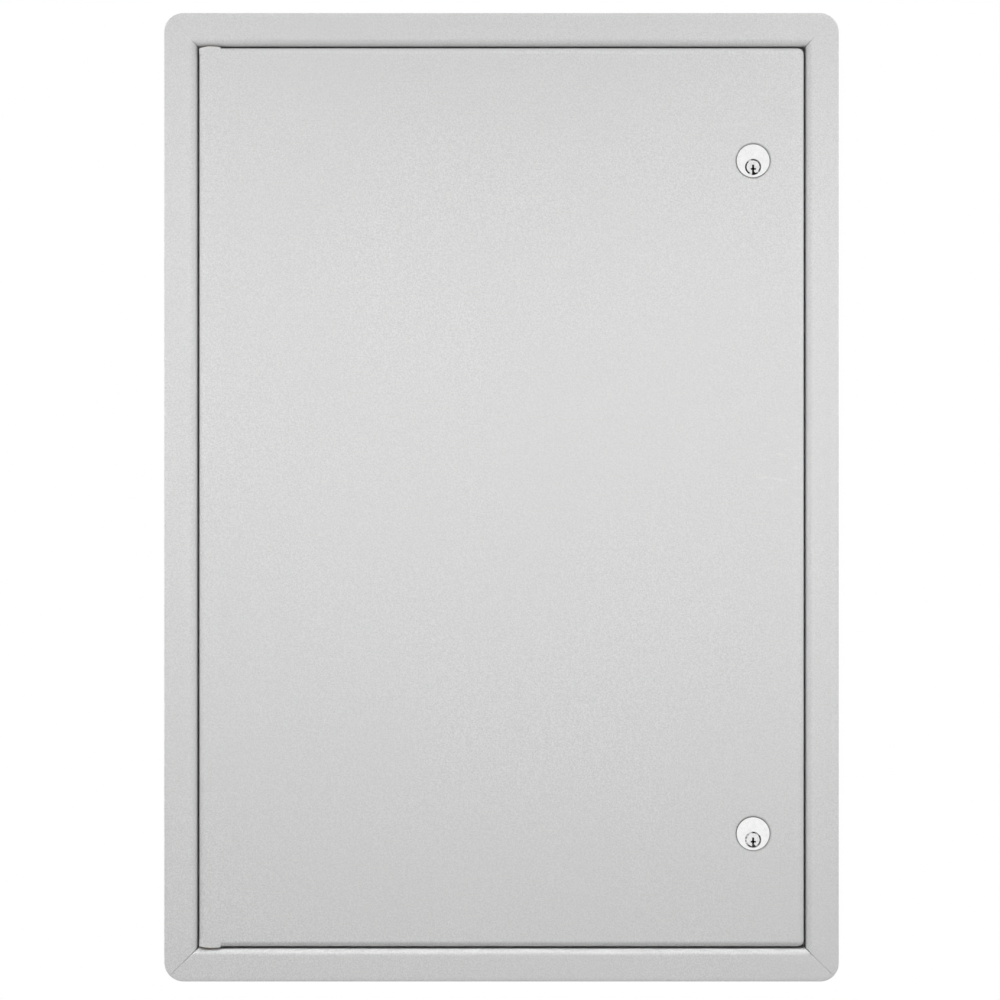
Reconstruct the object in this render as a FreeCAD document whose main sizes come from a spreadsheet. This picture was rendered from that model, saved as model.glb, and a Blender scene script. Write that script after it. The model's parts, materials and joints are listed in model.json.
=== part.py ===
"""A fire alarm control panel in a flush steel cabinet, as a parametric assembly.

The cabinet sits in a wall recess. A mitred steel trim covers the edge of the recess and holds an inset
door on two pivot pins. Two key cylinders turn cams that catch behind the trim's lip. Inside are the
chassis with the control board, the power supply, the operator panel with its buttons, and two batteries.

Frame: millimetres, +X to the right as seen by someone facing the door, +Y into the wall, +Z up. The
origin is the centre of the back box's rear face. "Forward" below is the distance from that rear face
towards the person, which is -Y.
"""

import FreeCAD, Part
import os
import re

import Sketcher
from FreeCAD import Rotation, Vector

SIZES = {
    # opening in the trim, and the trim's folded profile
    "opening_width": 514.0,
    "opening_height": 762.0,
    "trim_width": 27.5,
    "trim_sheet": 2.0,
    "trim_depth": 24.0,
    "trim_bend": 5.0,
    "trim_corner": 16.0,
    "lip_width": 12.0,
    "lip_bend": 3.0,
    # back box
    "box_depth": 105.0,
    "box_sheet": 1.5,
    "box_margin": 7.5,
    "box_flange": 17.5,
    "box_bend": 2.5,
    "fixing_spacing_wide": 470.0,
    "fixing_spacing_tall": 710.0,
    "fixing_radius": 4.0,
    "stud_wall_hole_radius": 3.5,
    "stud_wall_spacing": 500.0,
    "stud_wall_forward": 45.0,
    "knockout_small": 11.1,
    "knockout_large": 14.3,
    "knockout_forward": 52.0,
    "knockout_pitch": 120.0,
    "screw_radius": 2.0,
    "screw_hole_play": 0.15,
    "bumper_radius": 4.5,
    "bumper_gap": 0.05,
    # door
    "door_gap": 1.8,
    "door_depth": 16.0,
    "door_sheet": 1.5,
    "door_bend": 4.0,
    "door_corner": 4.5,
    "ear_width": 17.0,
    "ear_inset": 1.2,
    "ear_relief": 1.2,
    "ear_rise": 1.2,
    "ear_overlap": 6.0,
    "stiffener_offset": 150.0,
    "stiffener_width": 36.0,
    "stiffener_flange": 10.0,
    "stiffener_depth": 10.0,
    "stiffener_sheet": 1.2,
    "stiffener_length": 640.0,
    "pocket_width": 240.0,
    "pocket_height": 220.0,
    "pocket_depth": 22.0,
    "pocket_sheet": 1.0,
    "pocket_drop": 220.0,
    # pivot hinges
    "hinge_inset": 8.0,
    "hinge_setback": 7.5,
    "pin_radius": 2.5,
    "pin_reach": 5.5,
    "bush_play": 0.05,
    "bush_radius": 3.75,
    "bush_collar": 4.8,
    "leaf_sheet": 3.0,
    "leaf_length": 30.0,
    "leaf_width": 13.0,
    "leaf_height": 40.0,
    "hinge_block_height": 5.0,
    "hinge_block_length": 20.0,
    "hinge_block_width": 9.8,
    "hinge_block_relief": 2.3,
    "collar_top": 1.0,
    "collar_play": 0.1,
    # locks
    "lock_inset": 43.0,
    "lock_rise": 283.8,
    "lock_radius": 14.6,
    "lock_hole_radius": 15.2,
    "lock_length": 26.5,
    "lock_proud": 0.4,
    "lock_chamfer": 0.75,
    "bore_chamfer": 0.5,
    "lock_thread_pitch": 1.3,
    "lock_thread_depth": 0.5,
    "collar_radius": 20.0,
    "collar_depth": 14.0,
    "plug_radius": 6.35,
    "plug_play": 0.05,
    "plug_drop": 5.1,
    "plug_chamfer": 0.9,
    "plug_recess": 0.2,
    "plug_square": 8.0,
    "keyway_depth": 22.0,
    "keyway_width": 1.7,
    "cam_length": 38.0,
    "cam_width": 16.0,
    "cam_sheet": 2.5,
    "cam_screw_head": 2.0,
    # chassis and boards
    "chassis_width": 452.0,
    "chassis_height": 480.0,
    "chassis_middle": 125.0,
    "chassis_forward": 20.0,
    "chassis_sheet": 1.5,
    "chassis_return": 10.0,
    "board_sheet": 1.6,
    "standoff_height": 10.0,
    "board_width": 300.0,
    "board_height": 245.0,
    "board_middle_across": 68.0,
    "board_middle_up": 30.0,
    "card_width": 108.0,
    "card_height": 84.0,
    "card_rise": 18.0,
    "terminal_pitch": 5.08,
    # power supply
    "supply_width": 110.0,
    "supply_height": 240.0,
    "supply_depth": 50.0,
    "supply_sheet": 1.2,
    "vent_length": 10.0,
    "vent_width": 3.0,
    "vent_pitch": 9.0,
    "vent_rows": 17,
    "supply_middle_across": -160.0,
    "supply_middle_up": 30.0,
    # operator panel
    "operator_forward": 88.0,
    "operator_width": 330.0,
    "operator_height": 160.0,
    "operator_middle": 255.0,
    "operator_sheet": 1.5,
    "operator_foot": 12.0,
    "overlay_sheet": 0.8,
    "overlay_margin": 4.0,
    "operator_board_gap": 16.0,
    "bezel_border": 8.0,
    "bezel_lap": 4.0,
    "bezel_depth": 3.2,
    "window_width": 130.0,
    "window_height": 44.0,
    "window_across": -55.0,
    "window_up": 286.0,
    "lens_radius": 2.6,
    "lens_proud": 1.8,
    "button_width": 30.0,
    "button_height": 14.0,
    "button_play": 0.5,
    "button_row": 206.0,
    "button_pitch": 46.0,
    "button_travel": 1.2,
    "button_proud": 3.2,
    "button_flange": 1.5,
    # batteries
    "battery_width": 181.0,
    "battery_depth": 77.0,
    "battery_height": 167.0,
    "battery_gap": 18.0,
    "battery_lid": 22.0,
    "battery_well": 9.0,
    "shelf_width": 400.0,
    "shelf_depth": 86.0,
    "shelf_rise": 20.0,
    "shelf_sheet": 1.5,
    "shelf_upstand": 12.0,
}

# Places worked out from those sizes. Each is an expression that the features are bound to.
FACE = "(box_depth + trim_depth)"
LIP_FRONT = "(box_depth + trim_sheet)"
DOOR_W = "(opening_width - 2 * door_gap)"
DOOR_H = "(opening_height - 2 * door_gap)"
SKIN_BACK = f"({FACE} - door_sheet)"
DOOR_TOP_INSIDE = f"({DOOR_H} / 2 - door_sheet)"
BOX_W = "(opening_width + 2 * box_margin + 2 * box_sheet)"
BOX_H = "(opening_height + 2 * box_margin + 2 * box_sheet)"
BOX_FLOOR = f"(-{BOX_H} / 2 + box_sheet)"
BOX_MOUTH_W = f"({BOX_W} - 2 * box_flange - 2 * box_sheet)"
BOX_MOUTH_H = f"({BOX_H} - 2 * box_flange - 2 * box_sheet)"
HINGE_X = f"(-{DOOR_W} / 2 + hinge_inset)"
HINGE_FORWARD = f"({FACE} - hinge_setback)"
HINGE_BLOCK_FOOT = "(opening_height / 2 + trim_sheet)"
LOCK_X = f"({DOOR_W} / 2 - lock_inset)"
CHASSIS_FRONT = "(chassis_forward + chassis_sheet)"
BOARD_BACK = f"({CHASSIS_FRONT} + standoff_height)"
BOARD_FRONT = f"({BOARD_BACK} + board_sheet)"
OPERATOR_BOARD_BACK = "(operator_forward - operator_board_gap)"
OPERATOR_BOARD_FRONT = f"({OPERATOR_BOARD_BACK} + board_sheet)"
OVERLAY_FRONT = "(operator_forward + overlay_sheet)"
SHELF_TOP = f"({BOX_FLOOR} + shelf_rise)"
BATTERY_X = "(battery_width / 2 + battery_gap / 2)"
BATTERY_POST_X = "(battery_width / 2 - 14)"
BATTERY_POST_Y = "(-battery_depth / 2 + 13)"

TRIM_SCREWS_ACROSS = (-180, 0, 180)
TRIM_SCREWS_UP = (-150, 150)
CHASSIS_STUDS = [(side * 195, up) for side in (-1, 1) for up in (-102, 162, 330)]
BOARD_HOLES = [(side * 142, up * 114.5) for side in (-1, 0, 1) for up in (-1, 1)]
CARDS = [(-82, 62), (42, 62)]
CHIPS = [(28, -62, 22, 22), (64, -62, 14, 20), (92, -62, 10, 26), (-125, -32, 12, 30), (-95, -32, 12, 30)]
CAPACITORS = [(90, -28), (110, -28), (110, -2), (110, 24)]
BUTTONS = ("acknowledge", "silence", "reset", "drill", "lamp_test")
INDICATORS = [(66 + 18 * column, 300 - 16 * row) for row in (0, 1) for column in range(5)]
SOUNDER_PLACE = (126, 216)

doc = FreeCAD.newDocument("fire_alarm_control_panel")
sheet = doc.addObject("Spreadsheet::Sheet", "Sizes")
sub_parts = []


# ---------------------------------------------------------------- sheet, expressions and small helpers
def fill_sheet():
    for row, (alias, size) in enumerate(SIZES.items(), start=1):
        sheet.set(f"A{row}", alias)
        sheet.set(f"B{row}", str(size))
        sheet.setAlias(f"B{row}", alias)
    doc.recompute()


def full(expression):
    """The expression with each size's name pointing at its cell."""

    def point(match):
        return f"Sizes.{match[0]}" if match[0] in SIZES else match[0]

    return re.sub(r"[a-z_]+", point, str(expression))


def value(expression):
    return float(sheet.evalExpression(full(expression)))


def bind(thing, **expressions):
    for name, expression in expressions.items():
        thing.setExpression(name, full(expression))


def move(thing, x=0, y=0, z=0, rotation=None):
    """Binds where the object stands in the row frame."""
    if rotation is not None:
        thing.Placement.Rotation = rotation
    for axis, expression in (("x", x), ("y", y), ("z", z)):
        thing.setExpression(f"Placement.Base.{axis}", full(expression))
    return thing


def sub_part(thing, label):
    thing.Label = label
    sub_parts.append(thing)
    return thing


def block(x, z, back, width, height, depth):
    """A box centred on x and z, whose rear is at back and which reaches depth forward."""
    box = doc.addObject("Part::Box", "block")
    bind(box, Length=width, Width=depth, Height=height)
    return move(box, f"({x}) - ({width}) / 2", f"-({back}) - ({depth})", f"({z}) - ({height}) / 2")


def rod(x, z, back, radius, length):
    """A round bar along the forward direction."""
    bar = doc.addObject("Part::Cylinder", "rod")
    bind(bar, Radius=radius, Height=length)
    return move(bar, x, f"-({back})", z, Rotation(Vector(1, 0, 0), 90))


def fuse(*things):
    joined = doc.addObject("Part::MultiFuse", "fuse")
    joined.Shapes = list(things)
    return joined


def cut(base, *tools):
    cutter = tools[0] if len(tools) == 1 else fuse(*tools)
    taken = doc.addObject("Part::Cut", "cut")
    taken.Base, taken.Tool = base, cutter
    return taken


def group(label, things):
    """Identical pieces that share one node and stay separate solids."""
    bundle = doc.addObject("Part::Compound", label)
    bundle.Links = list(things)
    return sub_part(bundle, label)


# ---------------------------------------------------------------- loops for sketches
def rectangle(x, z, width, height):
    left, right = f"({x}) - ({width}) / 2", f"({x}) + ({width}) / 2"
    low, high = f"({z}) - ({height}) / 2", f"({z}) + ({height}) / 2"
    return [(left, low), (right, low), (right, high), (left, high)]


def disc(x, z, radius):
    return {"x": x, "z": z, "radius": radius}


def hold(sketch, kind, first, second, expression):
    """Adds a distance or radius that follows the sheet."""
    where = (-1, 1, first, second) if second else (first,)
    number = sketch.addConstraint(Sketcher.Constraint(kind, *where, value(expression)))
    sketch.setExpression(f"Constraints[{number}]", full(expression))


def draw_polygon(sketch, corners):
    points = [Vector(value(x), value(z), 0) for x, z in corners]
    sides = []
    for start, end in zip(points, points[1:] + points[:1]):
        sides.append(sketch.addGeometry(Part.LineSegment(start, end), False))
    for side, following in zip(sides, sides[1:] + sides[:1]):
        sketch.addConstraint(Sketcher.Constraint("Coincident", side, 2, following, 1))
    for side, (x, z) in zip(sides, corners):
        hold(sketch, "DistanceX", side, 1, x)
        hold(sketch, "DistanceY", side, 1, z)


def draw_circle(sketch, loop):
    centre = Vector(value(loop["x"]), value(loop["z"]), 0)
    circle = Part.Circle(centre, Vector(0, 0, 1), value(loop["radius"]))
    number = sketch.addGeometry(circle, False)
    hold(sketch, "Radius", number, None, loop["radius"])
    hold(sketch, "DistanceX", number, 3, loop["x"])
    hold(sketch, "DistanceY", number, 3, loop["z"])


# ---------------------------------------------------------------- bodies
class Piece:
    """A PartDesign body grown feature by feature.

    A sketch on XZ_Plane starts at a forward distance and pads forward. One on XY_Plane starts at a
    height and pads up, and one on YZ_Plane starts at an x and pads to the right. Pockets go back.
    """

    def __init__(self, label):
        self.body = doc.addObject("PartDesign::Body", label)

    def sketch(self, loops, start, plane):
        made = self.body.newObject("Sketcher::SketchObject", "outline")
        planes = self.body.Origin.OriginFeatures
        made.AttachmentSupport = [(next(p for p in planes if p.Role == plane), "")]
        made.MapMode = "FlatFace"
        made.setExpression("AttachmentOffset.Base.z", full(start))
        for loop in loops:
            if isinstance(loop, dict):
                draw_circle(made, loop)
            else:
                draw_polygon(made, loop)
        return made

    def keep(self, feature):
        self.body.Tip = feature
        self.body.recompute(True)
        return self

    def pad(self, loops, start, length, plane="XZ_Plane"):
        outline = self.sketch(loops, start, plane)
        feature = self.body.newObject("PartDesign::Pad", "pad")
        feature.Profile = outline
        bind(feature, Length=length)
        return self.keep(feature)

    def pocket(self, loops, start, length=None, plane="XZ_Plane"):
        """Cuts back from start by length or, with no length, right through both ways."""
        outline = self.sketch(loops, start, plane)
        before = self.body.Shape.Volume
        feature = self.body.newObject("PartDesign::Pocket", "pocket")
        feature.Profile = outline
        if length is None:
            feature.Type = "ThroughAll"
            feature.SideType = "Symmetric"
        else:
            bind(feature, Length=length)
        self.keep(feature)
        if feature.Shape.Volume >= before - 1e-6:
            raise ValueError(f"a pocket in {self.body.Label} cuts nothing")
        return self

    def names(self, kind, x=None, y=None, z=None, along=None):
        """Names of the edges or faces that lie inside the limits given."""
        shape = self.body.Tip.Shape
        found = []
        for number, item in enumerate(getattr(shape, kind + "s"), start=1):
            box = item.BoundBox
            spans = {"X": x, "Y": y, "Z": z}
            inside = True
            for axis, limit in spans.items():
                low, high = getattr(box, axis + "Min"), getattr(box, axis + "Max")
                if along and axis != along:
                    inside = inside and high - low < 1e-4
                if limit is None:
                    continue
                ends = limit if isinstance(limit, tuple) else (limit, limit)
                bottom, top = sorted(value(end) for end in ends)
                inside = inside and low > bottom - 1e-3 and high < top + 1e-3
            if inside:
                found.append(f"{kind}{number}")
        if not found:
            raise ValueError(f"{self.body.Label} has no {kind} there")
        return found

    def dress(self, kind, size_name, size, picked):
        base = self.body.Tip
        feature = self.body.newObject(f"PartDesign::{kind}", kind.lower())
        feature.Base = (base, picked)
        bind(feature, **{size_name: size})
        return self.keep(feature)

    def fillet(self, radius, **where):
        return self.dress("Fillet", "Radius", radius, self.names("Edge", **where))

    def chamfer(self, size, **where):
        return self.dress("Chamfer", "Size", size, self.names("Edge", **where))

    def shell(self, thickness, **where):
        base, faces = self.body.Tip, self.names("Face", **where)
        feature = self.body.newObject("PartDesign::Thickness", "shell")
        feature.Base = (base, faces)
        feature.Reversed = True
        bind(feature, Value=thickness)
        return self.keep(feature)

    def axis(self, role):
        return next(a for a in self.body.Origin.OriginFeatures if a.Role == role)

    def repeat(self, role, length, count):
        """Repeats the last feature count times over length along an origin axis."""
        last = self.body.Tip
        pattern = self.body.newObject("PartDesign::LinearPattern", "repeat")
        pattern.Originals = [last]
        pattern.Direction = (self.axis(role), [""])
        pattern.Occurrences = count
        bind(pattern, Length=length)
        return self.keep(pattern)

    def done(self, label):
        return sub_part(self.body, label)


# ---------------------------------------------------------------- back box
def knockouts():
    """Each conduit knockout: which wall it is in, its place along that wall, and its radius."""
    top = [("top", f"{steps} * knockout_pitch") for steps in (-1.5, -0.5, 0.5, 1.5)]
    sides = [(wall, f"{steps} * knockout_pitch") for wall in ("left", "right") for steps in (0.9, 1.4)]
    for number, (wall, along) in enumerate(top + sides):
        yield wall, along, "knockout_large" if number % 2 else "knockout_small"


def knockout_blank(wall, along, radius):
    """A half-sheared disc that still fills its hole, pushed out by half the sheet."""
    plate = doc.addObject("Part::Cylinder", "blank")
    bind(plate, Radius=radius, Height="box_sheet")
    if wall == "top":
        return move(plate, along, "-knockout_forward", f"{BOX_H} / 2 - box_sheet / 2")
    if wall == "right":
        turn = Rotation(Vector(0, 1, 0), 90)
        return move(plate, f"{BOX_W} / 2 - box_sheet / 2", "-knockout_forward", along, turn)
    turn = Rotation(Vector(0, 1, 0), -90)
    return move(plate, f"-{BOX_W} / 2 + box_sheet / 2", "-knockout_forward", along, turn)


def trim_screw_places():
    """Where the trim's screws go through its lip, as (x, z) in the row frame."""
    up, across = "(opening_height / 2 - lip_width / 2)", "(opening_width / 2 - lip_width / 2)"
    ends = [(str(x), f"{sign}{up}") for x in TRIM_SCREWS_ACROSS for sign in ("", "-")]
    return ends + [(across, str(z)) for z in TRIM_SCREWS_UP]


def make_back_box():
    outside = rectangle(0, 0, BOX_W, BOX_H)
    inside = rectangle(0, 0, f"{BOX_W} - 2 * box_sheet", f"{BOX_H} - 2 * box_sheet")
    mouth = rectangle(0, 0, BOX_MOUTH_W, BOX_MOUTH_H)
    across, up = "fixing_spacing_wide / 2", "fixing_spacing_tall / 2"
    fixings = [disc(side + across, end + up, "fixing_radius") for side in ("", "-") for end in ("", "-")]
    screws = [disc(x, z, "screw_radius") for x, z in trim_screw_places()]
    piece = Piece("box")
    piece.pad([outside, inside], 0, "box_depth")
    piece.pad([outside], 0, "box_sheet")
    piece.pad([outside, mouth], "box_depth - box_sheet", "box_sheet")
    piece.fillet("box_bend", y="0")
    piece.pocket(fixings, "2 * box_sheet", "3 * box_sheet")
    piece.pocket(screws, "box_depth + 1", "2 * box_sheet")
    heights = [f"{sign}stud_wall_spacing / 2" for sign in ("", "-")]
    wall_holes = [disc("-stud_wall_forward", height, "stud_wall_hole_radius") for height in heights]
    piece.pocket(wall_holes, 0, plane="YZ_Plane")
    walls = {wall: [] for wall in ("top", "left", "right")}
    for wall, along, radius in knockouts():
        place = (along, "-knockout_forward") if wall == "top" else ("-knockout_forward", along)
        walls[wall].append(disc(*place, radius))
    piece.pocket(walls["top"], f"{BOX_H} / 2 + 1", "box_sheet + 2", "XY_Plane")
    piece.pocket(walls["right"], f"{BOX_W} / 2 + 1", "box_sheet + 2", "YZ_Plane")
    piece.pocket(walls["left"], f"-{BOX_W} / 2 + box_sheet + 1", "box_sheet + 2", "YZ_Plane")
    piece.done("back_box")
    group("knockout_blanks", [knockout_blank(*spot) for spot in knockouts()])


# ---------------------------------------------------------------- trim
def make_trim_member(label, span, angle, x, z, pin_x=None, screws=()):
    """One mitred side of the trim, made as the top side: its opening face is at local z 0."""
    profile = [
        (f"-{FACE}", "trim_width"),
        (f"-{FACE}", "0"),
        (f"-{LIP_FRONT}", "0"),
        (f"-{LIP_FRONT}", "-lip_width"),
        ("-box_depth", "-lip_width"),
        ("-box_depth", "trim_sheet"),
        (f"-{FACE} + trim_sheet", "trim_sheet"),
        (f"-{FACE} + trim_sheet", "trim_width"),
    ]
    half = f"({span} / 2 + trim_width)"
    piece = Piece("trim")
    piece.pad([profile], f"-{half}", f"2 * {half}", "YZ_Plane")
    for side in ("", "-"):
        piece.fillet("trim_corner", x=f"{side}{half}", z="trim_width", along="Y")
    piece.fillet("trim_bend", y=f"-{FACE}", z="0", along="X")
    piece.fillet("trim_bend - trim_sheet", y=f"-{FACE} + trim_sheet", z="trim_sheet", along="X")
    piece.fillet("lip_bend", y="-box_depth", z="trim_sheet", along="X")
    piece.fillet("lip_bend - trim_sheet", y=f"-{LIP_FRONT}", z="0", along="X")
    mitres = []
    for side in ("", "-"):
        outer, inner = f"{side}{half}", f"{side}({span} / 2 - lip_width)"
        mitres.append([(outer, "trim_width"), (inner, "-lip_width"), (outer, "-lip_width")])
    piece.pocket(mitres, FACE)
    if pin_x:
        hole = disc(pin_x, f"-{HINGE_FORWARD}", "pin_radius")
        piece.pocket([hole], "trim_sheet + 1", "trim_sheet + 2", "XY_Plane")
    if screws:
        holes = [disc(place, "-lip_width / 2", "screw_radius + screw_hole_play") for place in screws]
        piece.pocket(holes, f"{LIP_FRONT} + 1", "trim_sheet + 2")
    move(piece.body, x, 0, z, Rotation(Vector(0, 1, 0), angle))
    piece.done(label)


def make_trim():
    """The top and bottom members carry the hinge pins, and all but the hinged side are screwed on."""
    tall, wide = "opening_height", "opening_width"
    make_trim_member("trim_top", wide, 0, 0, f"{tall} / 2", HINGE_X, TRIM_SCREWS_ACROSS)
    make_trim_member("trim_bottom", wide, 180, 0, f"-{tall} / 2", f"-{HINGE_X}", TRIM_SCREWS_ACROSS)
    make_trim_member("trim_right", tall, 90, f"{wide} / 2", 0, screws=TRIM_SCREWS_UP)
    make_trim_member("trim_left", tall, -90, f"-{wide} / 2", 0)


def pan_screw(x, z, seat, head_radius, head_height, shank_radius, shank_length):
    """A pan-head screw driven backwards, its head resting on the plane at seat."""
    piece = Piece("screw")
    piece.pad([disc("0", "0", shank_radius)], f"-({shank_length})", shank_length)
    piece.pad([disc("0", "0", head_radius)], "0", head_height)
    piece.fillet(f"({head_height}) * 0.6", y=f"-({head_height})")
    long, narrow, deep = f"1.1 * ({head_radius})", f"0.25 * ({head_radius})", f"0.6 * ({head_height})"
    for slot in (rectangle("0", "0", long, narrow), rectangle("0", "0", narrow, long)):
        piece.pocket([slot], f"({head_height}) + 1", f"{deep} + 1")
    return move(piece.body, x, f"-({seat})", z)


def make_trim_fasteners():
    """The screws through the trim's lip, and the rubber bumpers that the closed door rests on."""
    reach = "trim_sheet + box_sheet + 5"
    places = trim_screw_places()
    screws = [pan_screw(x, z, LIP_FRONT, "3.6", "2.4", "screw_radius", reach) for x, z in places]
    group("trim_screws", screws)
    up, across = f"({DOOR_H} / 2 - 6)", f"({DOOR_W} / 2 - 4.5)"
    places = [("120", up), ("120", f"-{up}"), (across, "80"), (across, "-80")]
    height = f"({FACE} - door_depth - {LIP_FRONT} - bumper_gap)"
    bumpers = []
    for x, z in places:
        piece = Piece("bumper")
        piece.pad([disc("0", "0", "bumper_radius")], "0", height)
        piece.fillet("1.2", y=f"-{height}")
        bumpers.append(move(piece.body, x, f"-{LIP_FRONT}", z))
    group("door_bumpers", bumpers)


# ---------------------------------------------------------------- hinges
def make_hinges():
    """A fixed pin in a block above and below the opening, and a flanged bush for each in the door.

    The lower set is the upper one turned half round, with a taller collar that carries the door.
    """
    blocks, pins, leaves, bushes = [], [], [], []
    for sign, turn, collar in (("", 0, "collar_top"), ("-", 180, "door_gap - collar_play")):
        rotation = Rotation(Vector(0, 1, 0), turn)
        x = f"{sign}{HINGE_X}"
        blocks.append(move(hinge_block(x).body, rotation=rotation))
        pins.append(move(hinge_pin(x).body, rotation=rotation))
        leaves.append(move(hinge_leaf(x, sign).body, rotation=rotation))
        bushes.append(move(hinge_bush(x, collar).body, rotation=rotation))
    group("hinge_blocks", blocks)
    group("hinge_pins", pins)
    group("hinge_leaves", leaves)
    group("hinge_bushes", bushes)


def hinge_block(x):
    """A steel block on the far side of the trim's return, relieved to clear the bend, holding the pin."""
    outline = rectangle(x, f"-{HINGE_FORWARD}", "hinge_block_length", "hinge_block_width")
    hole = disc(x, f"-{HINGE_FORWARD}", "pin_radius")
    piece = Piece("hinge_block")
    piece.pad([outline, hole], HINGE_BLOCK_FOOT, "hinge_block_height", "XY_Plane")
    piece.chamfer("1", z=f"{HINGE_BLOCK_FOOT} + hinge_block_height", along="X")
    front = f"-{HINGE_FORWARD} - hinge_block_width / 2"
    return piece.chamfer("hinge_block_relief", z=HINGE_BLOCK_FOOT, y=front, along="X")


def hinge_pin(x):
    low = f"({DOOR_H} / 2 - pin_reach)"
    length = f"({HINGE_BLOCK_FOOT} + hinge_block_height - {low})"
    piece = Piece("hinge_pin")
    piece.pad([disc(x, f"-{HINGE_FORWARD}", "pin_radius")], low, length, "XY_Plane")
    return piece.chamfer("0.8", z=low)


def hinge_bush(x, collar):
    """A sleeve through the leaf and the door's flange, with a collar in the gap to the trim."""
    hollow = disc(x, f"-{HINGE_FORWARD}", "pin_radius + bush_play")
    sleeve = disc(x, f"-{HINGE_FORWARD}", "bush_radius")
    rim = disc(x, f"-{HINGE_FORWARD}", "bush_collar")
    piece = Piece("bush")
    piece.pad([sleeve, hollow], f"{DOOR_TOP_INSIDE} - leaf_sheet", "leaf_sheet + door_sheet", "XY_Plane")
    return piece.pad([rim, hollow], f"{DOOR_H} / 2", collar, "XY_Plane")


def hinge_leaf(x, sign):
    """An angle welded inside the door's corner, bored for the bush."""
    angle = [
        (f"-{SKIN_BACK}", f"{DOOR_TOP_INSIDE} - leaf_height"),
        (f"-{SKIN_BACK}", DOOR_TOP_INSIDE),
        (f"-{SKIN_BACK} + leaf_width", DOOR_TOP_INSIDE),
        (f"-{SKIN_BACK} + leaf_width", f"{DOOR_TOP_INSIDE} - leaf_sheet"),
        (f"-{SKIN_BACK} + leaf_sheet", f"{DOOR_TOP_INSIDE} - leaf_sheet"),
        (f"-{SKIN_BACK} + leaf_sheet", f"{DOOR_TOP_INSIDE} - leaf_height"),
    ]
    start = f"{DOOR_W} / 2 - door_bend - leaf_length" if sign else f"-{DOOR_W} / 2 + door_bend"
    leaf = Piece("leaf")
    leaf.pad([angle], start, "leaf_length", "YZ_Plane")
    leaf.fillet("leaf_sheet", y=f"-{SKIN_BACK}", z=DOOR_TOP_INSIDE, along="X")
    hole = disc(x, f"-{HINGE_FORWARD}", "bush_radius")
    return leaf.pocket([hole], f"{DOOR_TOP_INSIDE} + 1", "leaf_sheet + 2", "XY_Plane")


# ---------------------------------------------------------------- door
def make_door():
    """A tray with rolled edges and two flat ears that reach over the hinge pins."""
    piece = Piece("door")
    back = f"({FACE} - door_depth)"
    piece.pad([rectangle(0, 0, DOOR_W, DOOR_H)], back, "door_depth")
    piece.fillet("door_corner", along="Y")
    piece.fillet("door_bend", y=f"-{FACE}")
    piece.shell("door_sheet", y=f"-{back}")
    left, right = f"(-{DOOR_W} / 2 + ear_inset)", f"(-{DOOR_W} / 2 + ear_inset + ear_width)"
    ear = [
        (left, f"-{SKIN_BACK}"),
        (left, f"-{FACE} + ear_relief"),
        (f"{left} + ear_relief", f"-{FACE}"),
        (right, f"-{FACE}"),
        (right, f"-{SKIN_BACK}"),
    ]
    for bottom in (f"{DOOR_H} / 2 - ear_overlap", f"-{DOOR_H} / 2 - ear_rise"):
        piece.pad([ear], bottom, "ear_overlap + ear_rise", "XY_Plane")
    locks = [disc(LOCK_X, f"{sign}lock_rise", "lock_hole_radius") for sign in ("", "-")]
    piece.pocket(locks, f"{FACE} + 1", "door_sheet + 2")
    piece.pocket([disc(HINGE_X, f"-{HINGE_FORWARD}", "bush_radius")], 0, plane="XY_Plane")
    piece.done("door_panel")


def make_stiffener(x):
    """A hat channel whose two flanges are welded to the inside of the door skin."""
    half, sheet_metal = "stiffener_width / 2", "stiffener_sheet"
    front, back = f"-{SKIN_BACK}", f"(-{SKIN_BACK} + stiffener_depth)"
    right = [
        (f"{x} + {half} + stiffener_flange", front),
        (f"{x} + {half} + stiffener_flange", f"{front} + {sheet_metal}"),
        (f"{x} + {half}", f"{front} + {sheet_metal}"),
        (f"{x} + {half}", back),
    ]
    left = [
        (f"{x} - {half}", back),
        (f"{x} - {half}", f"{front} + {sheet_metal}"),
        (f"{x} - {half} - stiffener_flange", f"{front} + {sheet_metal}"),
        (f"{x} - {half} - stiffener_flange", front),
    ]
    hollow = [
        (f"{x} - {half} + {sheet_metal}", front),
        (f"{x} - {half} + {sheet_metal}", f"{back} - {sheet_metal}"),
        (f"{x} + {half} - {sheet_metal}", f"{back} - {sheet_metal}"),
        (f"{x} + {half} - {sheet_metal}", front),
    ]
    piece = Piece("stiffener")
    piece.pad([right + left + hollow], "-stiffener_length / 2", "stiffener_length", "XY_Plane")
    return piece.body


def make_document_pocket():
    """A folded pocket on the inside of the door, open at the top, with a thumb notch."""
    middle = f"-{SKIN_BACK} + pocket_depth / 2"
    outside = rectangle(0, middle, "pocket_width", "pocket_depth")
    inside = rectangle(0, middle, "pocket_width - 2 * pocket_sheet", "pocket_depth - 2 * pocket_sheet")
    floor = "(-pocket_drop - pocket_height / 2)"
    piece = Piece("pocket")
    piece.pad([outside, inside], floor, "pocket_height", "XY_Plane")
    piece.pad([outside], floor, "pocket_sheet", "XY_Plane")
    thumb_notch = disc("0", f"{floor} + pocket_height", "22")
    piece.pocket([thumb_notch], f"{SKIN_BACK} - pocket_depth + pocket_sheet + 1", "pocket_sheet + 2")
    piece.done("document_pocket")


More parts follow.
